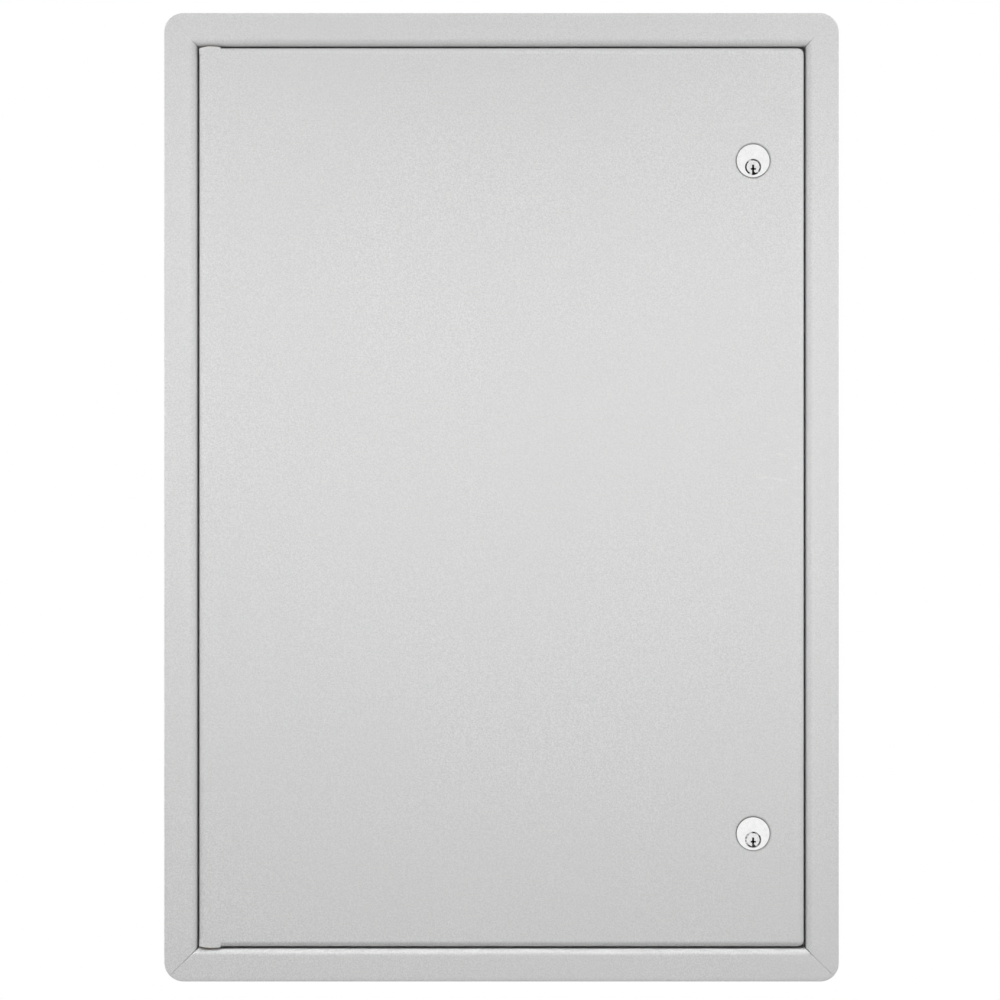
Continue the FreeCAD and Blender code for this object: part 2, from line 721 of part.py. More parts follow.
# ---------------------------------------------------------------- locks
def make_lock(name, height):
    """A threaded key cylinder with its plug, cam and cam screw. The cam hangs down, unlocked, at rest."""
    rear = "(lock_length - lock_proud)"
    place = {"x": LOCK_X, "y": f"-{FACE}", "z": height}
    cylinder = Piece("cylinder")
    bore = disc("0", "-plug_drop", "plug_radius + plug_play")
    cylinder.pad([disc("0", "0", "lock_radius")], f"-{rear}", "lock_length")
    cylinder.chamfer("lock_chamfer", y="-lock_proud")
    cylinder.pocket([bore], "lock_proud + 1", "lock_length + 2")
    cylinder.chamfer("bore_chamfer", y="-lock_proud", x=("-plug_radius - 1", "plug_radius + 1"))
    notch = [
        ("lock_radius + 0.1", "0"),
        ("lock_radius - lock_thread_depth", "lock_thread_pitch / 2"),
        ("lock_radius + 0.1", "lock_thread_pitch"),
    ]
    outline = cylinder.sketch([[(x, f"{y} + 2.5") for x, y in notch]], "0", "XY_Plane")
    groove = cylinder.body.newObject("PartDesign::Groove", "thread")
    groove.Profile = outline
    groove.ReferenceAxis = (cylinder.axis("Y_Axis"), [""])
    groove.Angle = 360
    cylinder.keep(groove).repeat("Y_Axis", "15 * lock_thread_pitch", 16)
    move(cylinder.body, **place)
    cylinder.done(f"{name}_lock_cylinder")

    plug = Piece("plug")
    face = "(lock_proud - plug_recess)"
    end = f"({rear} + plug_recess)"
    plug.pad([disc("0", "-plug_drop", "plug_radius")], f"-{end}", f"{face} + {end}")
    plug.chamfer("plug_chamfer", y=f"-{face}")
    keyway = [
        rectangle("0", "-plug_drop - 2.3", "keyway_width", "8.4"),
        rectangle("0.2", "-plug_drop - 1.7", "4.4", "1.4"),
        rectangle("0.5", "-plug_drop - 5.6", "2.6", "2.6"),
    ]
    for slot in keyway:
        plug.pocket([slot], f"{face} + 1", "keyway_depth + 1")
    tail = rectangle("0", "-plug_drop", "plug_square", "plug_square")
    plug.pad([tail], f"-{end} - cam_sheet", "cam_sheet")
    plug.pocket([disc("0", "-plug_drop", "screw_radius")], "-keyway_depth - 1", "cam_sheet + 8")
    move(plug.body, **place)
    plug.done(f"{name}_lock_plug")

    cam = Piece("cam")
    middle = "-plug_drop - cam_length / 2 + cam_width / 4"
    arm = rectangle("0", middle, "cam_width", "cam_length + cam_width / 2")
    square = rectangle("0", "-plug_drop", "plug_square", "plug_square")
    cam.pad([arm, square], f"-{end} - cam_sheet", "cam_sheet")
    tip, heel = "(-plug_drop - cam_length)", "(-plug_drop + cam_width / 2)"
    cam.fillet("cam_width * 0.45", z=heel, along="Y")
    cam.fillet("cam_width * 0.3", z=tip, along="Y")
    move(cam.body, **place)
    cam.done(f"{name}_lock_cam")

    screw = Piece("cam_screw")
    head_start = f"-{end} - cam_sheet - cam_screw_head"
    screw.pad([disc("0", "-plug_drop", "screw_radius")], f"-{end} - cam_sheet", "cam_sheet + 3")
    screw.pad([disc("0", "-plug_drop", "5.5")], head_start, "cam_screw_head")
    screw.fillet("0.9", y=f"{end} + cam_sheet + cam_screw_head")
    screw.pocket([rectangle("0", "-plug_drop", "6", "0.9")], f"{head_start} + 1", "cam_screw_head")
    move(screw.body, **place)
    screw.done(f"{name}_cam_screw")


def make_lock_collars():
    """Threaded rings welded behind the skin, each with a grub screw that stops the cylinder turning."""
    collars, grubs = [], []
    grub_hole = disc("collar_depth / 2", "0", "screw_radius")
    grub_length = "(collar_radius - lock_radius - 0.6)"
    for sign in ("", "-"):
        place = {"x": LOCK_X, "y": f"-{SKIN_BACK}", "z": f"{sign}lock_rise"}
        ring = Piece("collar")
        rings = [disc("0", "0", "collar_radius"), disc("0", "0", "lock_radius")]
        ring.pad(rings, "-collar_depth", "collar_depth")
        ring.pocket([grub_hole], "-lock_radius", "collar_radius", "YZ_Plane")
        collars.append(move(ring.body, **place))
        grub = Piece("grub")
        grub.pad([grub_hole], "-collar_radius + 0.4", grub_length, "YZ_Plane")
        grub.chamfer("0.4", x="-collar_radius + 0.4")
        grubs.append(move(grub.body, **place))
    group("lock_collars", collars)
    group("lock_set_screws", grubs)


# ---------------------------------------------------------------- chassis and control board
def make_chassis():
    """A removable plate with its edges folded back, on six shouldered studs from the box's rear."""
    outside = rectangle("0", "chassis_middle", "chassis_width", "chassis_height")
    inner_width, inner_height = "chassis_width - 2 * chassis_sheet", "chassis_height - 2 * chassis_sheet"
    inside = rectangle("0", "chassis_middle", inner_width, inner_height)
    holes = [disc(x, z, "2.5") for x, z in CHASSIS_STUDS]
    plate = Piece("chassis")
    plate.pad([outside, *holes], "chassis_forward", "chassis_sheet")
    plate.pad([outside, inside], "chassis_forward - chassis_return", "chassis_return")
    plate.fillet("1.2", y=f"-{CHASSIS_FRONT}", x="-chassis_width / 2")
    plate.fillet("1.2", y=f"-{CHASSIS_FRONT}", x="chassis_width / 2")
    plate.done("chassis_plate")
    studs, nuts = [], []
    for x, z in CHASSIS_STUDS:
        stud = Piece("stud")
        stud.pad([disc("0", "0", "5")], "box_sheet", "chassis_forward - box_sheet")
        stud.pad([disc("0", "0", "2.5")], "chassis_forward", "chassis_sheet + 7")
        stud.chamfer("0.6", y="-chassis_forward - chassis_sheet - 7")
        studs.append(move(stud.body, x, 0, z))
        nuts.append(hexagon_nut(x, z, CHASSIS_FRONT, "4.6", "4", "2.5"))
    group("chassis_studs", studs)
    group("chassis_nuts", nuts)


def hexagon(corner_radius):
    """Corners of a hexagon with two flats level."""
    half, rise = f"({corner_radius}) / 2", f"({corner_radius}) * 0.8660254"
    right = [(f"({corner_radius})", "0"), (half, rise), (f"-{half}", rise)]
    return right + [(f"-({corner_radius})", "0"), (f"-{half}", f"-{rise}"), (half, f"-{rise}")]


def hexagon_nut(x, z, seat, corner_radius, thickness, bore):
    nut = Piece("nut")
    nut.pad([hexagon(corner_radius), disc("0", "0", bore)], "0", thickness)
    return move(nut.body, x, f"-({seat})", z)


def standoff(x, z, seat, height):
    """A brass hexagon pillar."""
    pillar = Piece("pillar")
    pillar.pad([hexagon("3.2"), disc("0", "0", "1.5")], "0", height)
    return move(pillar.body, x, f"-({seat})", z)


def board(label, x, z, back, width, height, holes=(), corner="3"):
    piece = Piece("board")
    drilled = [disc(f"{x} + {dx}", f"{z} + {dz}", "1.5") for dx, dz in holes]
    piece.pad([rectangle(x, z, width, height), *drilled], back, "board_sheet")
    piece.fillet(corner, x=f"{x} - ({width}) / 2", along="Y")
    piece.fillet(corner, x=f"{x} + ({width}) / 2", along="Y")
    return piece


def terminal_block(x, z, back, ways, turn):
    """A green pluggable terminal row: screws on the front, wire entries along its lower side."""
    width = f"({ways} * terminal_pitch)"
    starts = [f"({number} + 0.5) * terminal_pitch - {width} / 2" for number in range(ways)]
    piece = Piece("terminal")
    piece.pad([rectangle("0", "0", width, "12")], "0", "11")
    piece.pad([rectangle("0", "1.5", width, "9")], "11", "5")
    piece.pocket([disc(start, "2", "1.7") for start in starts], "16", "5")
    piece.pocket([rectangle(start, "-6", "2.9", "3.6") for start in starts], "-2", "5", "XY_Plane")
    return move(piece.body, x, f"-({back})", z, Rotation(Vector(0, 1, 0), turn))


def place_on_board(dx, dz):
    return f"board_middle_across + {dx}", f"board_middle_up + {dz}"


def rounded_box(x, z, back, width, height, depth, radius):
    piece = Piece("rounded_box")
    piece.pad([rectangle("0", "0", width, height)], "0", depth)
    piece.fillet(radius, y=f"-({depth})")
    return move(piece.body, x, f"-({back})", z)


def small_screw(x, z, seat):
    """The pan-head screw that holds every board to its pillars."""
    return pan_screw(x, z, seat, "2.8", "2", "1.5", "board_sheet + 5")


def make_control_board():
    across, up = "board_middle_across", "board_middle_up"
    main = board("main", across, up, BOARD_BACK, "board_width", "board_height", BOARD_HOLES)
    main.done("main_board")
    corners = [place_on_board(dx, dz) for dx, dz in BOARD_HOLES]
    pillars = [standoff(x, z, CHASSIS_FRONT, "standoff_height") for x, z in corners]
    screws = [small_screw(x, z, BOARD_FRONT) for x, z in corners]
    pillars += operator_pillars()
    blocks = [terminal_block(*place_on_board(dx, -104), BOARD_FRONT, 8, 0) for dx in range(-102, 99, 50)]
    blocks += [terminal_block(*place_on_board(138, dz), BOARD_FRONT, 8, -90) for dz in (-60, -10, 40)]

    cards = []
    card_front = f"({BOARD_FRONT} + card_rise + board_sheet)"
    card_holes = [(side * 49, rise * 37) for side in (-1, 1) for rise in (-1, 1)]
    for dx, dz in CARDS:
        x, z = place_on_board(dx, dz)
        back = f"({BOARD_FRONT} + card_rise)"
        cards.append(board("card", x, z, back, "card_width", "card_height", card_holes, "2").body)
        for hole_x, hole_z in card_holes:
            place = (f"{x} + {hole_x}", f"{z} + {hole_z}")
            pillars.append(standoff(*place, BOARD_FRONT, "card_rise"))
            screws.append(small_screw(*place, card_front))
        blocks += [terminal_block(f"{x} + {shift}", f"{z} - 34", card_front, 6, 0) for shift in (-23, 23)]
    group("loop_cards", cards)
    group("terminal_blocks", blocks)
    group("board_standoffs", pillars)
    group("board_screws", screws)
    make_board_components()


def operator_pillars():
    """Pillars that hold the operator board off the back of its plate."""
    length = f"(operator_forward - operator_sheet - {OPERATOR_BOARD_FRONT})"
    places = [(x, f"operator_middle + {rise}") for x in (-144, 144) for rise in (-61, 61)]
    return [standoff(x, z, OPERATOR_BOARD_FRONT, length) for x, z in places]


def make_board_components():
    relays = []
    for dx in range(-120, -15, 26):
        relays.append(rounded_box(*place_on_board(dx, -66), BOARD_FRONT, "19", "27", "18", "0.8"))
    group("relays", relays)
    chips = []
    for dx, dz, width, height in CHIPS:
        chips.append(rounded_box(*place_on_board(dx, dz), BOARD_FRONT, width, height, "3", "0.5"))
    group("logic_chips", chips)
    group("capacitors", [rounded_can(*place_on_board(dx, dz)) for dx, dz in CAPACITORS])
    group("board_fuses", [glass_fuse(*place_on_board(dx, -32)) for dx in (-62, -30, 2)])
    make_heat_sink(*place_on_board(48, -33))


def rounded_can(x, z):
    """An electrolytic capacitor with its crimped neck and domed vent edge."""
    can = Piece("can")
    can.pad([disc("0", "0", "8")], "0", "2.4")
    can.pad([disc("0", "0", "7.4")], "2.4", "1")
    can.pad([disc("0", "0", "8")], "3.4", "22")
    can.fillet("1.2", y="-25.4")
    return move(can.body, x, f"-{BOARD_FRONT}", z)


def glass_fuse(x, z):
    """A cartridge fuse lying in its two clips, as one moulded holder."""
    holder = Piece("fuse")
    holder.pad([rectangle("0", "0", "24", "8")], "0", "4")
    holder.pad([rectangle(x, "0", "3", "7") for x in (-10, 10)], "4", "6")
    holder.pad([disc("-7", "0", "2.6")], "-11.5", "23", "YZ_Plane")
    return move(holder.body, x, f"-{BOARD_FRONT}", z)


def make_heat_sink(x, z):
    sink = Piece("sink")
    sink.pad([rectangle("0", "0", "44", "24")], "0", "4")
    sink.pad([rectangle("-20.8", "0", "1.6", "24")], "4", "22")
    sink.repeat("X_Axis", "8 * 5.2", 9)
    sink.done("heat_sink")
    move(sink.body, x, f"-{BOARD_FRONT}", z)


# ---------------------------------------------------------------- power supply
def make_power_supply():
    x, z = "supply_middle_across", "supply_middle_up"
    tray = Piece("supply")
    outside = rectangle(x, z, "supply_width", "supply_height")
    inside = rectangle(x, z, "supply_width - 2 * supply_sheet", "supply_height - 2 * supply_sheet")
    tray.pad([outside], CHASSIS_FRONT, "supply_sheet")
    tray.pad([outside, inside], CHASSIS_FRONT, "supply_depth")
    tray.done("power_supply_case")
    lid = Piece("supply_lid")
    front = f"({CHASSIS_FRONT} + supply_depth + supply_sheet)"
    lowest = f"({z} - (vent_rows - 1) / 2 * vent_pitch)"
    columns = [f"{x} + {column} * 1.5 * vent_length" for column in range(-2, 3)]
    row = [rectangle(column, lowest, "vent_length", "vent_width") for column in columns]
    lid.pad([outside], f"{front} - supply_sheet", "supply_sheet")
    for side in ("-", "+"):
        lid.fillet("1", y=f"-{front}", x=f"{x} {side} supply_width / 2")
    lid.pocket(row, f"{front} + 1", "supply_sheet + 2")
    lid.repeat("Z_Axis", "(vent_rows - 1) * vent_pitch", int(SIZES["vent_rows"]))
    lid.done("power_supply_cover")
    make_transformer()
    make_mains_inlet()


def make_transformer():
    """A laminated core with its winding standing out on both sides, inside the power supply."""
    core = Piece("transformer")
    core.pad([rectangle("0", "0", "76", "64")], "0", "26")
    core.pad([rectangle("0", "0", "46", "84")], "3", "32")
    core.fillet("3", y="-35")
    move(core.body, "supply_middle_across", f"-({CHASSIS_FRONT} + supply_sheet)", "supply_middle_up - 60")
    core.done("power_transformer")


def make_mains_inlet():
    """The mains terminal block and the earth stud, on the box's rear wall."""
    mains = Piece("mains")
    mains.pad([rectangle("0", "0", "62", "24")], "0", "14")
    mains.pad([rectangle(str(12 * wall - 30), "0", "2", "24") for wall in range(6)], "14", "7")
    mains.pocket([disc(str(12 * way - 24), "0", "3.2") for way in range(5)], "14", "4")
    move(mains.body, "-170", "-box_sheet", "-160")
    mains.done("mains_terminal_block")
    stud = rod("-100", "-160", "box_sheet", "3", "26")
    washer = cut(rod("-100", "-160", "box_sheet", "7", "1.6"), rod("-100", "-160", "box_sheet", "3", "1.6"))
    nuts = [hexagon_nut("-100", "-160", f"box_sheet + {rise}", "5.8", "5", "3") for rise in (1.6, 12)]
    group("earth_stud", [stud, washer, *nuts])


# ---------------------------------------------------------------- operator panel
def operator_openings():
    """Cut-outs in the operator plate and its overlay: the window, the buttons, the lamps."""
    wide, high = "button_width + 2 * button_play", "button_height + 2 * button_play"
    loops = [rectangle("window_across", "window_up", "window_width", "window_height")]
    loops += [rectangle(x, "button_row", wide, high) for x in button_places()]
    return loops + [disc(x, z, "lens_radius") for x, z in INDICATORS]


def button_places():
    return [f"({number} - 2.6) * button_pitch" for number in range(len(BUTTONS))]


def sound_holes():
    x, z = SOUNDER_PLACE
    ring = [(0, 0), (4.5, 0), (-4.5, 0), (2.25, 3.9), (-2.25, 3.9), (2.25, -3.9), (-2.25, -3.9)]
    return [disc(x + dx, z + dz, "1.1") for dx, dz in ring]


def make_operator_panel():
    low, high = "(operator_middle - operator_height / 2)", "(operator_middle + operator_height / 2)"
    front, back = "-operator_forward", f"-{CHASSIS_FRONT}"
    sheet_metal = "operator_sheet"
    profile = [
        (back, f"{low} - operator_foot"),
        (f"{back} - {sheet_metal}", f"{low} - operator_foot"),
        (f"{back} - {sheet_metal}", low),
        (front, low),
        (front, high),
        (f"{back} - {sheet_metal}", high),
        (f"{back} - {sheet_metal}", f"{high} + operator_foot"),
        (back, f"{high} + operator_foot"),
        (back, f"{high} - {sheet_metal}"),
        (f"{front} + {sheet_metal}", f"{high} - {sheet_metal}"),
        (f"{front} + {sheet_metal}", f"{low} + {sheet_metal}"),
        (back, f"{low} + {sheet_metal}"),
    ]
    bracket = Piece("operator")
    bracket.pad([profile], "-operator_width / 2", "operator_width", "YZ_Plane")
    bracket.fillet("1.2", y=front, z=high, along="X")
    bracket.fillet("1.2", y=front, z=low, along="X")
    bracket.pocket(operator_openings() + sound_holes(), "operator_forward + 1", "operator_sheet + 2")
    bracket.done("operator_bracket")

    overlay = Piece("overlay")
    width, height = "(operator_width - 2 * overlay_margin)", "(operator_height - 2 * overlay_margin)"
    plate = rectangle("0", "operator_middle", width, height)
    overlay.pad([plate, *operator_openings(), *sound_holes()], "operator_forward", "overlay_sheet")
    for side in ("-", ""):
        overlay.fillet("4", x=f"{side}{width} / 2", along="Y")
    overlay.done("operator_overlay")

    board("operator", "0", "operator_middle", OPERATOR_BOARD_BACK, "300", "136").done("operator_board")
    make_display()
    make_indicators()
    for name, x in zip(BUTTONS, button_places()):
        make_button(f"{name}_button", x)


def make_display():
    """The display module behind the plate, and its bezel and window in front of the overlay."""
    depth = f"(operator_forward - {OPERATOR_BOARD_FRONT})"
    width, height = "(window_width - 2 * bezel_lap)", "(window_height - 2 * bezel_lap)"
    module = rounded_box("window_across", "window_up", OPERATOR_BOARD_FRONT, width, height, depth, "0.6")
    sub_part(module, "display_module")
    bezel = Piece("bezel")
    inside = rectangle("window_across", "window_up", width, height)
    outer_width = "(window_width + 2 * bezel_border)"
    outside = rectangle("window_across", "window_up", outer_width, "window_height + 2 * bezel_border")
    bezel.pad([outside, inside], OVERLAY_FRONT, "bezel_depth")
    ends = [f"window_across {side} {outer_width} / 2" for side in ("-", "+")]
    for end in ends:
        bezel.fillet("5", along="Y", x=end)
    bezel.fillet("1.4", y=f"-{OVERLAY_FRONT} - bezel_depth", x=tuple(ends))
    bezel.done("display_bezel")
    sub_part(block("window_across", "window_up", OVERLAY_FRONT, width, height, "1.5"), "display_glass")


def make_indicators():
    """The lamps' lenses and the sounder, all standing on the operator board."""
    reach = f"({OVERLAY_FRONT} + lens_proud - {OPERATOR_BOARD_FRONT})"
    lenses = []
    for x, z in INDICATORS:
        lens = Piece("lens")
        lens.pad([disc("0", "0", "lens_radius")], "0", reach)
        lens.fillet("0.65 * lens_radius", y=f"-{reach}")
        lenses.append(move(lens.body, x, f"-{OPERATOR_BOARD_FRONT}", z))
    group("indicator_lenses", lenses)
    sounder = Piece("sounder")
    depth = f"(operator_forward - operator_sheet - 0.5 - {OPERATOR_BOARD_FRONT})"
    sounder.pad([disc("0", "0", "12"), disc("0", "0", "2.5")], "0", depth)
    move(sounder.body, SOUNDER_PLACE[0], f"-{OPERATOR_BOARD_FRONT}", SOUNDER_PLACE[1])
    sounder.done("sounder")


def make_button(label, x):
    """A key cap with a retaining flange behind the plate and a stem that reaches the switch."""
    plate_back = "(operator_forward - operator_sheet)"
    start = f"({plate_back} - 0.2)"
    front = f"({OVERLAY_FRONT} + button_proud)"
    cap = Piece("button")
    cap.pad([rectangle("0", "0", "button_width", "button_height")], start, f"{front} - {start}")
    cap.fillet("2.5", along="Y")
    cap.fillet("1.2", y=f"-{front}")
    flange = f"({start} - button_flange)"
    cap.pad([rectangle("0", "0", "button_width + 3", "button_height + 3")], flange, "button_flange")
    stem = f"({OPERATOR_BOARD_FRONT} + button_travel + 0.3)"
    cap.pad([disc("0", "0", "2.2")], stem, f"{flange} - {stem}")
    move(cap.body, x, 0, "button_row")
    cap.done(label)


# ---------------------------------------------------------------- batteries
def make_batteries():
    tall = "(shelf_rise + shelf_upstand)"
    rear, front = "box_sheet", "(box_sheet + shelf_depth - shelf_sheet)"
    top_z = f"{SHELF_TOP} - shelf_sheet / 2"
    shelf = fuse(
        block("0", top_z, rear, "shelf_width", "shelf_sheet", "shelf_depth"),
        block("0", f"{BOX_FLOOR} + {tall} / 2", front, "shelf_width", tall, "shelf_sheet"),
        block("0", f"{BOX_FLOOR} + shelf_rise / 2", rear, "shelf_width", "shelf_rise", "shelf_sheet"),
    )
    sub_part(shelf, "battery_shelf")
    posts = []
    for name, side in (("left", "-"), ("right", "")):
        case = battery_case()
        x, y = f"{side}{BATTERY_X}", "-(box_sheet + 2 + battery_depth / 2)"
        move(case.body, x, y, SHELF_TOP)
        case.done(f"{name}_battery")
        for sign in ("-", "+"):
            post = Piece("post")
            post.pad([rectangle("0", "0", "11", "9")], "0", "battery_well - 1", "XY_Plane")
            post.pocket([disc("0", "4", "2.6")], "5")
            post.chamfer("0.8", z="battery_well - 1", along="X")
            post_x = f"{x} {sign} {BATTERY_POST_X}"
            post_z = f"{SHELF_TOP} + battery_height - battery_well"
            posts.append(move(post.body, post_x, f"{y} + {BATTERY_POST_Y}", post_z))
    group("battery_terminals", posts)


def battery_case():
    """A sealed battery: a body and a lid with a narrow joint line, and a well for each terminal."""
    body_top = "(battery_height - battery_lid)"
    seam = "2"
    narrow, shallow = "battery_width - 3", "battery_depth - 3"
    whole = rectangle("0", "0", "battery_width", "battery_depth")
    case = Piece("battery")
    case.pad([whole], "0", body_top, "XY_Plane")
    case.fillet("3", along="Z")
    case.pad([rectangle("0", "0", narrow, shallow)], body_top, seam, "XY_Plane")
    case.pad([whole], f"{body_top} + {seam}", f"battery_lid - {seam}", "XY_Plane")
    wells = [rectangle(f"{sign}{BATTERY_POST_X}", BATTERY_POST_Y, "20", "18") for sign in ("", "-")]
    case.pocket(wells, "battery_height", "battery_well", "XY_Plane")
    lid = (f"{body_top} + {seam}", "battery_height")
    for side in ("-", ""):
        case.fillet("2", along="Z", z=lid, x=f"{side}battery_width / 2")
    return case


# ---------------------------------------------------------------- checks and export
def check_and_export():
    doc.recompute()
    for thing in doc.Objects:
        if {"Invalid", "Error"} & set(thing.State):
            raise ValueError(f"{thing.Label} failed: {thing.State}")
    os.makedirs("parts", exist_ok=True)
    for thing in sub_parts:
        shape = thing.Shape
        if shape.isNull() or not shape.isValid() or not shape.Solids:
            raise ValueError(f"{thing.Label} has no valid solid")
        shape.exportStep(f"parts/{thing.Label}.step")
    print(len(sub_parts), "sub-parts written")


fill_sheet()
make_back_box()
make_trim()
make_trim_fasteners()
make_hinges()
make_door()
group("door_stiffeners", [make_stiffener("-stiffener_offset"), make_stiffener("stiffener_offset")])
make_document_pocket()
make_lock("upper", "lock_rise")
make_lock("lower", "-lock_rise")
make_lock_collars()
make_chassis()
make_control_board()
make_power_supply()
make_operator_panel()
make_batteries()
check_and_export()
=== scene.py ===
"""Looks for the fire alarm control panel: trim and door re-made as folded sheet, and a node material
for every part. Metres, in the row frame: +X right, front towards -Y, +Z up."""

import json
import math

import bmesh
import bpy
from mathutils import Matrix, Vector


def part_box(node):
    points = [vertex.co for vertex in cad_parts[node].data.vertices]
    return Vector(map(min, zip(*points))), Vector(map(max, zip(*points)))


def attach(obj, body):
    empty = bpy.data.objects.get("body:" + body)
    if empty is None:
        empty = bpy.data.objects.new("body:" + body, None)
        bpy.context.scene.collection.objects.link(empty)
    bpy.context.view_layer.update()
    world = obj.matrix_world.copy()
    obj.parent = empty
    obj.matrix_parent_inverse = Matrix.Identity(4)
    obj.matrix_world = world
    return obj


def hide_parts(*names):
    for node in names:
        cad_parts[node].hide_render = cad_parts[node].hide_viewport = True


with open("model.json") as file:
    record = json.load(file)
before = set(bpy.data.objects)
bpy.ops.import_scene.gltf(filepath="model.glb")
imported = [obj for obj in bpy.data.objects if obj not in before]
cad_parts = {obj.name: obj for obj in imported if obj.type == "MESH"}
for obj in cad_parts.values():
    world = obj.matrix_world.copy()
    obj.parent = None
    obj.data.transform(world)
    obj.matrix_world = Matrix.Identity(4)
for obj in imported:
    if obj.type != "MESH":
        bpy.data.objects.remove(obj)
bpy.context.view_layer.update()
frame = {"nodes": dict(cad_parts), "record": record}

MM = 0.001
SLOTS = {part["node"]: part["material_slot"] for part in frame["record"]["subparts"]}
# Most of a noise texture's values lie between these two.
NOISE_LOW, NOISE_HIGH = 0.3, 0.7


# ---------------------------------------------------------------- materials
def add_node(tree, kind, **settings):
    node = tree.nodes.new(kind)
    for name, setting in settings.items():
        setattr(node, name, setting)
    return node


def set_stops(node, stops):
    """Gives a colour ramp its stops. A stop's colour is three numbers, or one for a grey."""
    points = node.color_ramp.elements
    while len(points) < len(stops):
        points.new(0.5)
    for point, (position, colour) in zip(points, stops):
        point.position = position
        point.color = (*colour, 1.0) if isinstance(colour, tuple) else (colour, colour, colour, 1.0)


class Look:
    """A node material whose patterns are laid out in the object's own space, in metres."""

    def __init__(self, name, metallic=0.0, specular=0.5, coat=0.0, transmission=0.0, ior=1.5):
        self.material = bpy.data.materials.new(name)
        self.material.use_nodes = True
        self.tree = self.material.node_tree
        self.tree.nodes.clear()
        output = self.add("ShaderNodeOutputMaterial")
        self.shader = self.add("ShaderNodeBsdfPrincipled")
        self.tree.links.new(self.shader.outputs[0], output.inputs[0])
        fixed = {"Metallic": metallic, "Specular IOR Level": specular, "Coat Weight": coat,
                 "Coat Roughness": 0.15, "Transmission Weight": transmission, "IOR": ior}
        for socket, size in fixed.items():
            self.shader.inputs[socket].default_value = size
        self.place = self.add("ShaderNodeTexCoord").outputs["Object"]
        split = self.add("ShaderNodeSeparateXYZ")
        self.tree.links.new(self.place, split.inputs[0])
        self.x, self.y, self.z = split.outputs

    def add(self, kind, **settings):
        return add_node(self.tree, kind, **settings)

    def feed(self, socket, what):
        """Links a socket, or sets it to a colour or a number."""
        if isinstance(what, bpy.types.NodeSocket):
            self.tree.links.new(what, socket)
        elif isinstance(what, tuple) and len(what) == 3 and socket.type == "RGBA":
            socket.default_value = (*what, 1.0)
        else:
            socket.default_value = what

    def stretched(self, stretch):
        if stretch is None:
            return self.place
        mapping = self.add("ShaderNodeMapping")
        mapping.inputs["Scale"].default_value = stretch
        self.feed(mapping.inputs["Vector"], self.place)
        return mapping.outputs[0]

    def noise(self, scale, detail=2.0, stretch=None):
        node = self.add("ShaderNodeTexNoise")
        self.feed(node.inputs["Vector"], self.stretched(stretch))
        node.inputs["Scale"].default_value = scale
        node.inputs["Detail"].default_value = detail
        return node.outputs[0]

    def cells(self, scale, output="Distance"):
        node = self.add("ShaderNodeTexVoronoi")
        self.feed(node.inputs["Vector"], self.place)
        node.inputs["Scale"].default_value = scale
        return node.outputs[output]

    def ramp(self, level, *stops):
        node = self.add("ShaderNodeValToRGB")
        self.feed(node.inputs[0], level)
        set_stops(node, stops)
        return node.outputs[0]

    def tones(self, level, dark, light):
        """Fades between two colours over a noise's usual range."""
        return self.ramp(level, (NOISE_LOW, dark), (NOISE_HIGH, light))

    def maths(self, operation, first, second=0.0, third=0.0):
        node = self.add("ShaderNodeMath", operation=operation)
        for socket, what in zip(node.inputs, (first, second, third)):
            self.feed(socket, what)
        return node.outputs[0]

    def span(self, level, low, high, new_low=0.0, new_high=1.0):
        node = self.add("ShaderNodeMapRange")
        for socket, what in zip(node.inputs, (level, low, high, new_low, new_high)):
            self.feed(socket, what)
        return node.outputs[0]

    def mix(self, share, first, second):
        # A Mix node's colours go in at sockets 6 and 7 and come out at socket 2.
        node = self.add("ShaderNodeMix", data_type="RGBA")
        self.feed(node.inputs[0], share)
        self.feed(node.inputs[6], first)
        self.feed(node.inputs[7], second)
        return node.outputs[2]

    def inside(self, level, low, high):
        """1 where the level is between the two limits."""
        above = self.maths("GREATER_THAN", level, low)
        return self.both(above, self.maths("LESS_THAN", level, high))

    def both(self, first, second):
        """1 where both masks are 1."""
        return self.maths("MULTIPLY", first, second)

    def away(self, x, z):
        """Distance from the line along Y through x, z."""
        across = self.maths("SUBTRACT", self.x, x)
        up = self.maths("SUBTRACT", self.z, z)
        squares = self.maths("MULTIPLY_ADD", up, up, self.maths("MULTIPLY", across, across))
        return self.maths("SQRT", squares)

    def aside(self, x, z):
        """Distances to either side of x, and above or below z."""
        across = self.maths("ABSOLUTE", self.maths("SUBTRACT", self.x, x))
        up = self.maths("ABSOLUTE", self.maths("SUBTRACT", self.z, z))
        return across, up

    def frame_line(self, x, z, width, height, thickness):
        """1 on a thin rectangle in the XZ plane."""
        across, up = self.aside(x, z)
        beyond_x = self.maths("SUBTRACT", across, width / 2)
        beyond_z = self.maths("SUBTRACT", up, height / 2)
        edge = self.maths("MAXIMUM", beyond_x, beyond_z)
        return self.maths("LESS_THAN", self.maths("ABSOLUTE", edge), thickness / 2)

    def panel(self, x, z, width, height):
        """1 inside a rectangle in the XZ plane."""
        across, up = self.aside(x, z)
        inside_x = self.maths("LESS_THAN", across, width / 2)
        return self.both(inside_x, self.maths("LESS_THAN", up, height / 2))

    def bump(self, height, distance):
        node = self.add("ShaderNodeBump")
        node.inputs["Strength"].default_value = 1.0
        node.inputs["Distance"].default_value = distance
        self.feed(node.inputs["Height"], height)
        self.tree.links.new(node.outputs[0], self.shader.inputs["Normal"])

    def colour(self, what):
        self.feed(self.shader.inputs["Base Color"], what)

    def roughness(self, what):
        self.feed(self.shader.inputs["Roughness"], what)

    def gloss(self, level, low, high):
        """Lets the roughness wander between two values over a noise's usual range."""
        self.roughness(self.span(level, NOISE_LOW, NOISE_HIGH, low, high))


